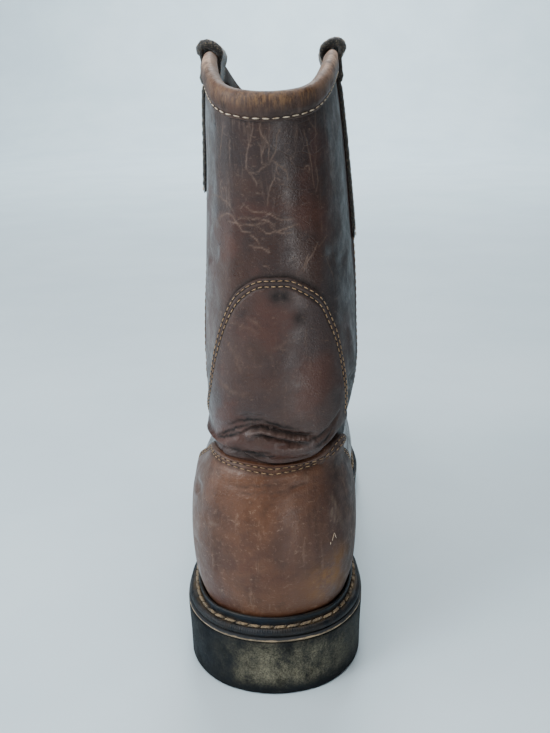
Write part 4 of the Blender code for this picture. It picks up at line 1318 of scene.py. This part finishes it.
def collar_profile():
    """Drop, lift, how much of the padding and how much of the rubbing."""
    face = GAP + COLLAR_LEATHER
    thick, back = face + COLLAR_PADDING, -LEATHER - face - COLLAR_PADDING
    middle, half = (thick + back) / 2, (thick - back) / 2
    edge, seam = COLLAR_EDGE, COLLAR_SEAM
    outside = [
        (edge, 0.0003, 0, 0), (edge + 0.0002, 0.0009, 0, 0), (edge - 0.0001, 0.0013, 0, 0.2),
        (edge - 0.0005, face, 0, 0.3), (seam + 0.0002, face, 0, 0.1), (seam - 0.0003, face, 0, 0.1),
        (seam - 0.0010, face + 0.0001, 0.3, 0.1), (seam - 0.0020, thick, 0.7, 0.1),
        (0.0043, thick, 1, 0.2), (0.0031, thick, 1, 0.3), (0.0020, thick, 1, 0.5),
        (0.0010, thick, 0.8, 0.7), (0.0000, thick, 0.5, 0.9),
    ]
    roll = [(-0.0023 * math.sin(a), middle + half * math.cos(a), 0.3, 1)
            for a in np.linspace(0.35, math.pi - 0.35, 8)]
    inside = [(drop, -LEATHER - lift, pad, rub) for drop, lift, pad, rub in outside[::-1]]
    return np.array(outside + roll + inside), len(outside) + len(roll) // 2


def collar_walk():
    """Turns and the length walked to them along the collar's stitch row."""
    turns = np.linspace(-1, 1, 1201)
    return turns, walk_length(rim_place(turns, COLLAR_SEAM, 0.0))


def rim_lowering(turn):
    """The rim sits lower between the straps than the leather's nominal edge."""
    return RIM_LOWER * (1 - ease((0.5 - np.abs(np.abs(turn) - 0.5) - 0.26) / 0.16))


def beside_strap(turn):
    """1 away from the straps and 0 under them."""
    return ease((np.abs(np.abs(turn) - 0.5) - 0.085) / 0.03)


def make_collar():
    profile, middle = collar_profile()
    turns = crowded_turns(COLLAR_COLUMNS)
    walk_turns, walk = collar_walk()
    stitches_round = round(walk[-1] / COLLAR_PITCH)

    def place(column, row):
        turn = turns[column % COLLAR_COLUMNS]
        drop, lift, pad, rub = profile[row % len(profile)].T
        outside = (row % len(profile)) < middle
        way = np.where(outside, 1.0, -1.0)
        phase = np.interp(turn, walk_turns, walk) / walk[-1] * stitches_round * 2 * np.pi
        free = beside_strap(turn)
        wave = 0.5 + 0.5 * np.sin(31 * turn + 1.3 * np.sin(17 * turn))
        puff = pad * (0.0004 + 0.0003 * wave) * (0.2 + 0.8 * free)
        pinch = bell(drop - COLLAR_SEAM, 0.0009) * 0.0005 * (0.7 - 0.3 * np.cos(phase))
        pucker = bell(drop - COLLAR_SEAM, 0.002) * 0.00016 * np.cos(phase)
        points = rim_place(turn, drop, lift + way * (puff - pinch - pucker))
        lean = 0.0004 * np.sin(9 * turn + 2) * ease((0.004 - drop) / 0.006)
        inner = ease((-0.0006 - lift) / 0.003) * 0.0008
        points[:, 2] += lean * free - rim_lowering(turn) - inner
        peaks = 0.22 + 0.78 * bell(np.abs(turn) - 0.37, 0.11)
        ochre = 0.9 * bell(drop - 0.0005, 0.003) * bell(turn, 0.22)
        dark = bell(drop - COLLAR_SEAM, 0.0007) * 0.5
        return points, rub * peaks, ochre, dark, np.where(outside, 0.0, 1.0)

    piece = woven_grid("collar_binding", COLLAR_COLUMNS, len(profile), place, collar_leather(),
                       ("rub", "ochre", "dark", "inside"))
    finish_piece("collar")


def strap_path(leg):
    """Drop and lift of the strap's inner face: outside, over the collar, inside."""
    wide = GAP + COLLAR_LEATHER + COLLAR_PADDING + GAP
    far = -LEATHER - wide
    low, end = STRAP_CLIMB
    path = [(drop, GAP) for drop in np.linspace(leg, low, 24)]
    path += [(mix(low, end, share), mix(GAP, wide, ease(share)))
             for share in (0.2, 0.4, 0.6, 0.8, 1)]
    path += [(end * share, wide) for share in (0.75, 0.5, 0.25, 0)]
    middle, half = (wide + far) / 2, (wide - far) / 2
    for angle in np.linspace(0, math.pi, 15)[1:-1]:
        rise = STRAP_LOOP * math.sin(angle) + COLLAR_LEATHER * min(1, 2.5 * math.sin(angle))
        puff = STRAP_PUFF * math.sin(angle)
        path.append((-rise, middle + half * math.cos(angle) + puff))
    path += [(end * share, far) for share in (0, 0.25, 0.5, 0.75, 1)]
    path += [(drop, -LEATHER - GAP) for drop in np.linspace(low, STRAP_INSIDE, 8)]
    return np.array(path)


def strap_span():
    """Half the strap's width, in turns."""
    near, far = skin_points(np.full(2, float(TOP_RING)), np.array([0.494, 0.506]))
    return STRAP_WIDTH * 0.006 / np.linalg.norm(far - near)


STRAP_COLUMNS = 26
STRAP_SWELL = 0.0010
STRAP_FILL = 0.0012
STRAP_PRESSED = 0.0007


def strap_frames(side, leg):
    """Inner face points and the ways out, for each path point and place across."""
    path = strap_path(leg)
    across = np.linspace(-1, 1, STRAP_COLUMNS // 2 + 1)
    turns = side * 0.5 + across * strap_span()
    count = len(turns)
    points = rim_place(np.tile(turns, len(path)), np.repeat(path[:, 0], count),
                       np.repeat(path[:, 1], count)).reshape(len(path), count, 3)
    near = skin(np.full(count, float(TOP_RING)), turns - 0.02)
    beyond = skin(np.full(count, float(TOP_RING)), turns + 0.02)
    run = np.gradient(points, axis=0)
    outs = unit(np.cross((beyond - near)[None], run))
    bare = (path[:, 0] > COLLAR_EDGE + 0.0003) & (path[:, 1] > GAP)
    loop = np.clip(-path[:, 0] / (STRAP_LOOP + COLLAR_LEATHER), 0, 1)
    return points, outs, np.where(bare, path[:, 1] - GAP, STRAP_FILL * loop)


def strap_thickness(drop):
    """Thicker on the loop, pressed flat over the collar."""
    pressed = ease((0.0135 - drop) / 0.002) * ease((drop + 0.0005) / 0.002)
    return STRAP_THICKNESS + STRAP_SWELL * ease(-drop / 0.002) - STRAP_PRESSED * pressed


def make_strap(name, node, side, leg):
    points, outs, filling = strap_frames(side, leg)
    drops = strap_path(leg)[:, 0]
    rows, half = points.shape[0] - 1, points.shape[1] - 1

    def place(column, row):
        column = column % (2 * half)
        outer = column < half
        across = np.where(outer, column, 2 * half - column)
        edge = np.abs(across / half * 2 - 1)
        rounding = np.sqrt(np.clip(1 - ((edge - 0.86) / 0.14).clip(0, 1) ** 2, 0.12, 1))
        ends = np.minimum(row, rows - row) / 1.5
        rounding = rounding * np.clip(ends, 0.25, 1)
        level = 0.5 + np.where(outer, 0.5, -0.5) * rounding
        frayed = 0.00022 * np.sin(2.9 * row + 1.7 * across) * (edge > 0.8)
        thick = strap_thickness(drops[row])
        under = np.where(outer, 0, filling[row])
        spot = points[row, across] + outs[row, across] * (thick * level + frayed - under)[:, None]
        dark_edge = ease((edge - 0.70) / 0.22)
        ends_dark = np.maximum(0, 1 - row / 2.0)
        return spot, np.maximum(dark_edge, ends_dark), np.where(outer, 0.0, 1.0)

    piece = woven_grid(name, 2 * half, rows, place, strap_leather(), ("edge", "inside"))
    finish_piece(node)


# Sole pieces

WELT_COLUMNS = 2400
WELT_RIB_PITCH = 0.0012
WELT_RIB_DEPTH = 0.00011


def even_turns(count):
    """Signed turns at even steps along the sole's outline, and its length."""
    shares, length = by_length(sole_outline(np.linspace(-1, 1, 6001), 0.0), count + 1)
    return shares[:-1] * 2 - 1, length


def foot_edge(turn, out, ring=0.0, cover=True):
    """Points level with the upper's lower edge, moved out past the counter."""
    over = (OVERLAY + GAP + FACET_ROOM) * (1 - ease((np.abs(turn) - COUNTER_TIP) / 0.02))
    out = out + (over if cover else 0)
    ring = np.full(len(turn), float(ring))
    level = skin_out(ring, turn)
    level[:, 2] = 0
    return skin_points(ring, turn) + unit(level) * np.reshape(out, (-1, 1))


def make_welt():
    """The strip with its fine ribs outside and its storm rib against the leather."""
    rib_ring = RIB_HEIGHT / (SHAFT_HEIGHT * FOOT_RINGS[1][1])
    room = GAP + FACET_ROOM
    foot = room + RIB_WIDTH
    # from the sole's outline in: inset, share of the welt's height, ribbing, dust
    outer = [(0.0020, 0.0, 0, 0.2), (0.0012, 0.12, 0, 0.2), (0.0010, 0.32, 0.4, 0.1),
             (0.0011, 0.52, 1, 0.1), (0.0014, 0.70, 1, 0.1), (0.0019, 0.86, 1, 0.1),
             (0.0025, 0.96, 0.8, 0.3), (0.0030, 0.97, 0.3, 0.5)]
    # out from the upper: distance, height, ring, dust
    inner = [(foot + 0.0020, -0.0004, 0.0, 0.8), (foot + 0.0005, 0.0000, 0.1, 0.9),
             (foot + 0.0001, 0.0008, 0.3, 0.3), (foot, 0.0022, 0.5, 0.0),
             (foot - 0.0001, 0.0034, 0.8, 0.0), (foot - 0.0007, 0.0042, 1.0, 0.2),
             (room + 0.0005, 0.0042, 1.0, 0.4), (room, 0.0036, 1.0, 0.5), (room, 0.0, 0.2, 0.5)]
    rows = len(outer) + len(inner) + 2
    turns, around = even_turns(WELT_COLUMNS)
    ribs = round(around / WELT_RIB_PITCH)
    length = sole_outline(turns, 0.0)[:, 1]
    phase = np.arange(WELT_COLUMNS) / WELT_COLUMNS * ribs * 2 * np.pi
    rough = 0.00012 * np.sin(0.071 * phase + 1.3 * np.sin(0.023 * phase))
    loops, dusts = [], []
    for inset, share, ribbing, dust in outer:
        point = np.zeros((WELT_COLUMNS, 3))
        wave = ribbing * WELT_RIB_DEPTH * np.cos(phase) + rough * ribbing
        point[:, :2] = sole_outline(turns, inset + wave)
        point[:, 2] = welt_bottom(length) + share * WELT - 0.5 * wave
        loops.append(point)
        dusts.append(dust)
    for out, height, ring, dust in inner:
        point = foot_edge(turns, out, ring * rib_ring)
        point[:, 2] = welt_top(foot_edge(turns, 0, 0, False)[:, 1]) + height
        loops.append(point)
        dusts.append(dust)
    for level in (welt_top, welt_bottom):
        point = foot_edge(turns, -LEATHER, 0, False)
        point[:, 2] = level(point[:, 1])
        loops.append(point)
        dusts.append(0)
    loops, dusts = np.array(loops), np.array(dusts)

    def place(column, row):
        row = row % rows
        return loops[row, column % WELT_COLUMNS], dusts[row]

    piece = woven_grid("welt_strip", WELT_COLUMNS, rows, place, welt_rubber(), ("dust",))
    finish_piece("welt")


def sections(name, stations, section, material, traits=()):
    """A closed body from sections at stations along the boot, pointed at its ends."""
    loops, *values = section(stations)
    rows = loops.shape[1]

    def place(column, row):
        return (loops[column, row % rows], *[value[column, row % rows] for value in values])

    return woven_grid(name, len(stations) - 1, rows, place, material, traits)


def tread_grooves():
    """Where the lugs' grooves run across: centre along the boot, reach from the middle."""
    grooves = []
    y = SHANK_FRONT * SOLE_LENGTH
    while y < TREAD_END * SOLE_LENGTH:
        grooves.append((y, BALL_WIDTH))
        y += LUG_PITCH
    y = HEEL_LENGTH - TREAD_BORDER
    while y > 1.5 * TREAD_BORDER:
        reach = sole_reach(np.array([turn_of(y / SOLE_LENGTH)]))[0] - TREAD_BORDER
        grooves.append((y, reach))
        y -= LUG_PITCH
    return grooves


def groove_share(distance):
    """1 in a groove, 0 outside, with a steep wall."""
    return ease((LUG_GROOVE / 2 + GROOVE_WALL / 2 - np.abs(distance)) / GROOVE_WALL)


def tread_depth(x, y):
    """Depth of the grooves between the lugs."""
    depth = np.zeros(np.broadcast(x, y).shape)
    for centre, reach in tread_grooves():
        depth = np.maximum(depth, groove_share(y - centre) * (np.abs(x) < reach + GROOVE_WALL / 2))
    start, end = SHANK_FRONT * SOLE_LENGTH, TREAD_END * SOLE_LENGTH - LUG_GROOVE
    heel_end = HEEL_LENGTH - TREAD_BORDER + LUG_GROOVE / 2
    middle = groove_share(x)
    for low, high in ((start, end), (1.5 * TREAD_BORDER, heel_end)):
        depth = np.maximum(depth, middle * ((y > low) & (y < high)))
    return depth * LUG_DEPTH


SOLE_SECTION_BOTTOM = 60
GROOVE_SNAP = 0.0006
SOLE_WALL = [
    # inset, share of the height from the tread up to the top, added height
    (0.0021, 0.0, 0.0), (0.0014, 0.0, 0.0003), (0.0010, 0.0, 0.0009), (0.0010, 0.06, 0.0),
    (0.0009, 0.2, 0.0), (0.0008, 0.4, 0.0), (0.0006, 0.6, 0.0), (0.0003, 0.8, 0.0),
    (0.0001, 0.93, 0.0), (0.0001, 1.0, -0.0007), (0.0004, 1.0, -0.0002), (0.0010, 1.0, 0.0),
]


def sole_stations():
    """Turns of the sections: even, and closer at the heel's breast and the lugs."""
    places = list(np.linspace(0, 1, 171))
    marks = [HEEL_LENGTH, HEEL_LENGTH + BREAST_SLOPE, HEEL_LENGTH - 0.0006,
             HEEL_LENGTH + BREAST_SLOPE + 0.0008]
    for centre, _ in tread_grooves():
        for side in (-1, 1):
            edge = centre + side * LUG_GROOVE / 2
            marks += [edge - GROOVE_WALL / 2, edge + GROOVE_WALL / 2]
    places += [float(turn_of(mark / SOLE_LENGTH)) for mark in marks]
    return np.array(sorted(set(round(place, 6) for place in places)))


def make_outsole():
    sides = LUG_GROOVE / 2 + np.array([-GROOVE_WALL, GROOVE_WALL]) / 2
    groove_edges = np.concatenate([sides, -sides])

    def section(turns):
        y = SOLE_LENGTH * along_of(turns)
        low, top = sole_bottom(y), sole_top(y)
        lateral, medial = (sole_outline(side * turns, SOLE_WALL[0][0]) for side in (-1, 1))
        rows = []
        for share in np.linspace(0, 1, SOLE_SECTION_BOTTOM):
            x, along = mix(lateral, medial, share).T
            nearest = groove_edges[np.argmin(np.abs(x[:, None] - groove_edges), axis=1)]
            x = np.where(np.abs(x - nearest) < GROOVE_SNAP, nearest, x)
            depth = np.minimum(tread_depth(x, y), (top - low) * 0.4)
            rows.append(np.column_stack([x, along, low + depth]))
        wall = []
        for inset, share, extra in SOLE_WALL:
            edge = sole_outline(turns, inset)
            depth = np.minimum(tread_depth(edge[:, 0], y), (top - low) * 0.4)
            height = mix(low + depth * (1 - share), top, share) + extra
            wall.append((inset, height))
            rows.append(np.column_stack([edge, height]))
        first, last = (sole_outline(side * turns, SOLE_WALL[-1][0]) for side in (1, -1))
        for share in np.linspace(0, 1, 10)[1:-1]:
            rows.append(np.column_stack([mix(first, last, share), top]))
        for inset, height in wall[::-1]:
            rows.append(np.column_stack([sole_outline(-turns, inset), height]))
        made = np.stack(rows, 1)
        made[[0, -1], :, 0] = 0
        return (made,)

    piece = sections("sole_rubber", sole_stations(), section, sole_rubber())
    finish_piece("outsole")


def plate(name, edge_at, across, edges, material):
    """A thin closed plate: edges give inset and share of its height, bottom up."""
    def section(turns):
        rows, levels = [], []
        for side, order in ((1, edges), (-1, edges[::-1])):
            levels += [share for _, share in order] + [order[-1][1]] * (across - 2)
            for inset, share in order:
                rim, bottom, top = edge_at(side * turns, inset)
                rows.append(np.column_stack([rim, mix(bottom, top, share)]))
            inset, share = order[-1]
            first, bottom, top = edge_at(side * turns, inset)
            last = edge_at(-side * turns, inset)[0]
            height = mix(bottom, top, share)
            for step in np.linspace(0, 1, across)[1:-1]:
                rows.append(np.column_stack([mix(first, last, step), height]))
        made = np.stack(rows, 1)
        made[[0, -1], :, 0] = made[[0, -1], :, 0].mean(axis=1, keepdims=True)
        return made, np.tile(levels, (len(turns), 1))

    return sections(name, np.linspace(0, 1, 181), section, material, ("level",))


def make_midsole():
    def edge(turns, inset):
        bottom = midsole_bottom(SOLE_LENGTH * along_of(turns))
        return sole_outline(turns, inset), bottom, bottom + MIDSOLE

    edges = [(0.0030, 0.0), (0.0010, 0.0), (0.0004, 0.12), (0.0001, 0.35), (0.0001, 0.65),
             (0.0004, 0.88), (0.0010, 1.0), (0.0030, 1.0)]
    piece = plate("midsole_edge", edge, 6, edges, tan_rubber())
    finish_piece("midsole")


def make_insole():
    def edge(turns, inset):
        rim = foot_edge(turns, -LEATHER - inset, 0, False)
        return rim[:, :2], welt_bottom(rim[:, 1]), leather_floor(rim[:, 1]) + INSOLE

    edges = [(0.0010, 0.0), (0.0005, 0.0), (0.0004, 0.5), (0.0004, 1.0), (0.0012, 1.06),
             (0.0030, 1.03), (0.0060, 1.0)]
    piece = plate("insole_board", edge, 14, edges, insole_board())
    finish_piece("insole")


# Stitches

ARCH_PITCH = 0.0029
SEAM_PITCH = 0.0034
STRAP_PITCH = 0.0030
ROPE_PITCH = 0.0060
# Length, width and thickness of one stitch
COLLAR_STITCH = (0.0031, 0.0006, 0.0006)
ARCH_STITCH = (0.0022, 0.0005, 0.0005)
COUNTER_STITCH = (0.0024, 0.0005, 0.0005)
UPPER_STITCH = (0.0024, 0.0006, 0.0005)
STRAP_STITCH = (0.0022, 0.0006, 0.0006)
NEEDLE_HOLE = (0.0005, 0.0005, 0.0003)
ROPE_STRAND = (0.0011, 0.0014)
ROPE_SLANT = 0.42
# The rope lies in a groove beside the storm rib
ROPE_OUT = 0.0014
ROPE_LIFT = 0.0004
LOOSE_THREAD = 0.0003
THREAD_SUNK = 0.0001
HOLE_SUNK = 0.00005
INNER_ROW_LOWER = 0.0007
FINE_LINE = 900


def surface_line(line, lift, count=FINE_LINE):
    """Points and ways out for a line of turns and rises on the leather."""
    fine = resampled(chart(line), count) / [HALF_ROUND, SHAFT_HEIGHT]
    ring = ring_of(fine[:, 1])
    return skin(ring, fine[:, 0], lift + creases(ring, fine[:, 0])), skin_out(ring, fine[:, 0])


def walked(points, outs, pitch, phase=0.5):
    """Places at even steps along a line, with its run and its way out there."""
    far = walk_length(points)
    count = max(int(far[-1] / pitch), 1)
    marks = (np.arange(count) + phase) * far[-1] / count

    def at(places, values):
        return np.stack([np.interp(places, far, values[:, k]) for k in range(3)], 1)

    run = at(marks + RUN_STEP, points) - at(marks - RUN_STEP, points)
    return at(marks, points), unit(run), unit(at(marks, outs))


def bead_shape():
    """Points and faces of one small round lump, a metre across, in a fixed order."""
    lump = bmesh.new()
    bmesh.ops.create_uvsphere(lump, u_segments=6, v_segments=4, radius=0.5)
    places = [tuple(round(value, 7) + 0.0 for value in vertex.co) for vertex in lump.verts]
    order = sorted(range(len(places)), key=places.__getitem__)
    number = {old: new for new, old in enumerate(order)}
    faces = []
    for face in lump.faces:
        corners = [number[vertex.index] for vertex in face.verts]
        first = corners.index(min(corners))
        faces.append(corners[first:] + corners[:first])
    lump.free()
    return np.array(sorted(places)), sorted(faces)


class Beads:
    """Many small lumps, gathered here and joined into one mesh."""

    def __init__(self):
        self.shape, self.faces = bead_shape()
        self.points = []

    def add(self, spot, run, out, length, width, thick):
        """Lumps that lie along run and stand up along out."""
        across = np.cross(out, run)
        axes = np.stack([across * width, out * thick, run * length], 1)
        self.points.append(spot[:, None] + self.shape @ axes)

    def row(self, points, outs, pitch, length, width, thick, slant=0.0, phase=0.5):
        """Stitches at a pitch along a line, each a little askew."""
        spot, run, out = walked(points, outs, pitch, phase)
        across = np.cross(out, run)
        wobble = 0.06 * np.sin(np.arange(len(spot)) * 2.4)[:, None]
        tilted = unit(run + (slant + wobble) * across)
        upright = unit(np.cross(tilted, np.cross(out, tilted)))
        self.add(spot, tilted, upright, length, width, thick)

    def joined(self, name, material):
        points = np.concatenate(self.points) + SEAT
        size = len(self.shape)
        faces = []
        for start in range(0, len(points) * size, size):
            faces += [[start + corner for corner in face] for face in self.faces]
        data = bpy.data.meshes.new(name)
        data.from_pydata(points.reshape(-1, 3).tolist(), [], faces)
        mesh = bmesh.new()
        mesh.from_mesh(data)
        bmesh.ops.recalc_face_normals(mesh, faces=mesh.faces)
        mesh.to_mesh(data)
        mesh.free()
        keep(name, data, material)


def stitch_piece(name, lines, material, pitch, size, holes=None):
    """One mesh for several rows, and dark lumps between their stitches that paint the shade of the
    needle holes.
    """
    beads = Beads()
    for points, outs in lines:
        beads.row(points, outs, pitch, *size)
        if holes:
            holes.row(points - outs * HOLE_SUNK, outs, pitch, *NEEDLE_HOLE, phase=0.0)
    beads.joined(name, material)


def collar_lines():
    """The binding's stitch row, on its outer and its inner face."""
    turns = np.linspace(-1, 1, 1600)
    face = GAP + COLLAR_LEATHER
    outs = skin_out(rim_rings(turns, np.full(len(turns), COLLAR_SEAM)), turns)
    outside = rim_place(turns, COLLAR_SEAM, face - THREAD_SUNK)
    inside = rim_place(turns, COLLAR_SEAM, -LEATHER - face + THREAD_SUNK)
    outside[:, 2] -= rim_lowering(turns)
    inside[:, 2] -= rim_lowering(turns) + INNER_ROW_LOWER
    return [(outside, outs), (inside, -outs)]


def upper_lines():
    """Two rows along the vamp's edge and two beside each side seam."""
    lines = []
    for side in (-1, 1):
        for offset in VAMP_ROWS:
            edge = resampled(VAMP_EDGE[1:], 300)
            ring, turn = edge[:, 1] - offset, side * edge[:, 0]
            lift = creases(ring, turn) + 2 * SEAM_STEP + vamp_creases(skin_points(ring, turn))
            lines.append((skin(ring, turn, lift), skin_out(ring, turn)))
        ring = np.linspace(8.0, TOP_RING - 0.6, 300)
        for offset in SIDE_ROWS:
            turn = np.full(len(ring), side * (SIDE_SEAM + offset))
            lift = creases(ring, turn) + SEAM_STEP
            lines.append((skin(ring, turn, lift), skin_out(ring, turn)))
    return lines


def strap_lines():
    """Rows along both edges of each strap and across its lower end."""
    lines = []
    for side, leg in ((-1, STRAP_LEG_LATERAL), (1, STRAP_LEG_MEDIAL)):
        points, outs, _ = strap_frames(side, leg)
        last = points.shape[1] - 1
        thick = strap_thickness(strap_path(leg)[:, 0]) - THREAD_SUNK
        faces = points + outs * thick[:, None, None]
        lines += [(faces[:, column], outs[:, column]) for column in (2, last - 2)]
        lines += [(faces[row, 2:last - 1], outs[row, 2:last - 1]) for row in (1, 3)]
    return lines


def make_loose_threads(material):
    """Cut thread ends on the counter: one long lump for each."""
    beads = Beads()
    for ends in LOOSE_THREADS:
        points, outs = surface_line(ends, COUNTER_THICK + THREAD_SUNK, 20)
        length = np.linalg.norm(points[-1] - points[0])
        beads.row(points, outs, 1.0, length, LOOSE_THREAD, LOOSE_THREAD)
    beads.joined("loose_thread_ends", material)


def make_rope(material):
    """The heavy welt stitch: strands that cross a groove at a slant."""
    beads = Beads()
    turns = np.linspace(-1, 1, 4001)
    points = foot_edge(turns, GAP + FACET_ROOM + RIB_WIDTH + ROPE_OUT)
    points[:, 2] = welt_top(foot_edge(turns, 0, 0, False)[:, 1]) + ROPE_LIFT
    outs = np.tile([0.0, 0.0, 1.0], (len(turns), 1))
    for phase, length in ((0.28, 0.0034), (0.52, 0.0036), (0.76, 0.0032)):
        beads.row(points, outs, ROPE_PITCH, length, *ROPE_STRAND, ROPE_SLANT, phase)
    beads.joined("welt_stitches", material)


def make_stitches():
    cream = thread("cream thread", tone(226, 204, 176), tone(150, 122, 92))
    golden = thread("golden thread", tone(164, 131, 92), tone(108, 80, 54))
    rope = thread("welt thread", tone(130, 110, 82), tone(46, 40, 34))
    holes = Beads()
    stitch_piece("collar_stitches", collar_lines(), cream, COLLAR_PITCH, COLLAR_STITCH)
    arches = [surface_line(panel_row(inset), PANEL_THICK - THREAD_SUNK) for inset in ARCH_ROWS]
    stitch_piece("arch_stitches", arches, golden, ARCH_PITCH, ARCH_STITCH, holes)
    seams = [surface_line(counter_row(inset, COUNTER_SEWN), COUNTER_THICK - THREAD_SUNK)
             for inset in COUNTER_SEAMS]
    stitch_piece("counter_stitches", seams, golden, SEAM_PITCH, COUNTER_STITCH, holes)
    stitch_piece("vamp_and_side_stitches", upper_lines(), golden, SEAM_PITCH,
                 UPPER_STITCH, holes)
    stitch_piece("strap_stitches", strap_lines(), cream, STRAP_PITCH, STRAP_STITCH)
    make_loose_threads(cream)
    holes.joined("needle_holes", needle_dark())
    make_rope(rope)


# Stage, light and camera

LENS = 58.9
CAMERA_AT = (0.02040, -0.50794, 0.2726)
LOOK_UP = (0.00492, 0.30295, 0.95299)
LOOK_AHEAD = (-0.03708, 0.95240, -0.30257)

# The table runs back to TABLE_BEND and curves up over TABLE_ROUND into a backdrop
TABLE_FRONT = -4.0
TABLE_WALK = 10.0
TABLE_BEND = 3.0
TABLE_ROUND = 1.2
TABLE_HALF = 8.0

BOOT_MIDDLE = (0, -0.05, 0.12)
LIGHTS = [
    # name, place, size, power, colour, what it is aimed at
    ("left window", (-0.95, -0.80, 0.85), 0.7, 16, (0.92, 0.97, 1.0), BOOT_MIDDLE),
    ("left low window", (-0.95, -0.10, 0.38), 0.6, 3.6, (0.90, 0.96, 1.0), BOOT_MIDDLE),
    ("top panel", (0.0, -0.30, 1.3), 0.8, 12, (1.0, 0.99, 0.97), BOOT_MIDDLE),
    ("front strip", (0.32, -0.95, 0.12), 0.22, 1.5, (1.0, 0.99, 0.98), BOOT_MIDDLE),
    ("backdrop wash", (0.0, 2.4, 2.8), 1.6, 190, (0.90, 0.97, 1.0), (0, 3.4, 0.5)),
]
ROOM_COLOUR = (0.80, 0.86, 0.90, 1)
ROOM_LIGHT = 0.10


def make_camera():
    """The photograph's lens and viewing angle, on this one boot."""
    lens = bpy.data.cameras.new("camera")
    lens.lens, lens.sensor_width, lens.sensor_fit = LENS, 36, "HORIZONTAL"
    lens.clip_start, lens.clip_end = 0.01, 50
    camera = bpy.data.objects.new("camera", lens)
    ahead, up = Vector(LOOK_AHEAD).normalized(), Vector(LOOK_UP)
    right = ahead.cross(up).normalized()
    up = right.cross(ahead)
    turn = Matrix((right, up, -ahead)).transposed().to_4x4()
    camera.matrix_world = Matrix.Translation(CAMERA_AT) @ turn
    bpy.context.collection.objects.link(camera)
    bpy.context.scene.camera = camera


def make_light(name, spot, size, power, colour, target):
    data = bpy.data.lights.new(name, "AREA")
    data.shape, data.size, data.energy, data.color = "DISK", size, power, colour
    light = bpy.data.objects.new(name, data)
    light.location = spot
    aim = Vector(target) - Vector(spot)
    light.rotation_euler = aim.to_track_quat("-Z", "Y").to_euler()
    bpy.context.collection.objects.link(light)


def make_table():
    """A pale table that curves up into a backdrop far behind the boot."""
    sheet = bmesh.new()
    bmesh.ops.create_grid(sheet, x_segments=2, y_segments=40, size=1)
    for vertex in sheet.verts:
        walk = (vertex.co.y + 1) / 2 * TABLE_WALK + TABLE_FRONT
        bend = min(max(walk - TABLE_BEND, 0) / TABLE_ROUND, math.pi / 2)
        over = max(walk - TABLE_BEND - TABLE_ROUND * math.pi / 2, 0)
        y = min(walk, TABLE_BEND) + TABLE_ROUND * math.sin(bend)
        z = TABLE_ROUND * (1 - math.cos(bend)) + over
        vertex.co = (vertex.co.x * TABLE_HALF, y, z)
    bmesh.ops.recalc_face_normals(sheet, faces=sheet.faces)
    data = bpy.data.meshes.new("table")
    sheet.to_mesh(data)
    sheet.free()
    smooth_object("table", data, table_top())


def make_room():
    world = bpy.data.worlds.new("pale room")
    world.use_nodes = True
    background = world.node_tree.nodes["Background"]
    background.inputs["Color"].default_value = ROOM_COLOUR
    background.inputs["Strength"].default_value = ROOM_LIGHT
    bpy.context.scene.world = world
    for light in LIGHTS:
        make_light(*light)


def main():
    make_outsole()
    make_midsole()
    make_welt()
    make_insole()
    make_upper()
    make_panel()
    make_counter()
    make_collar()
    make_strap("pull_strap_lateral", "strap_lateral", -1, STRAP_LEG_LATERAL)
    make_strap("pull_strap_medial", "strap_medial", 1, STRAP_LEG_MEDIAL)
    make_stitches()
    make_table()
    make_room()
    make_camera()


main()
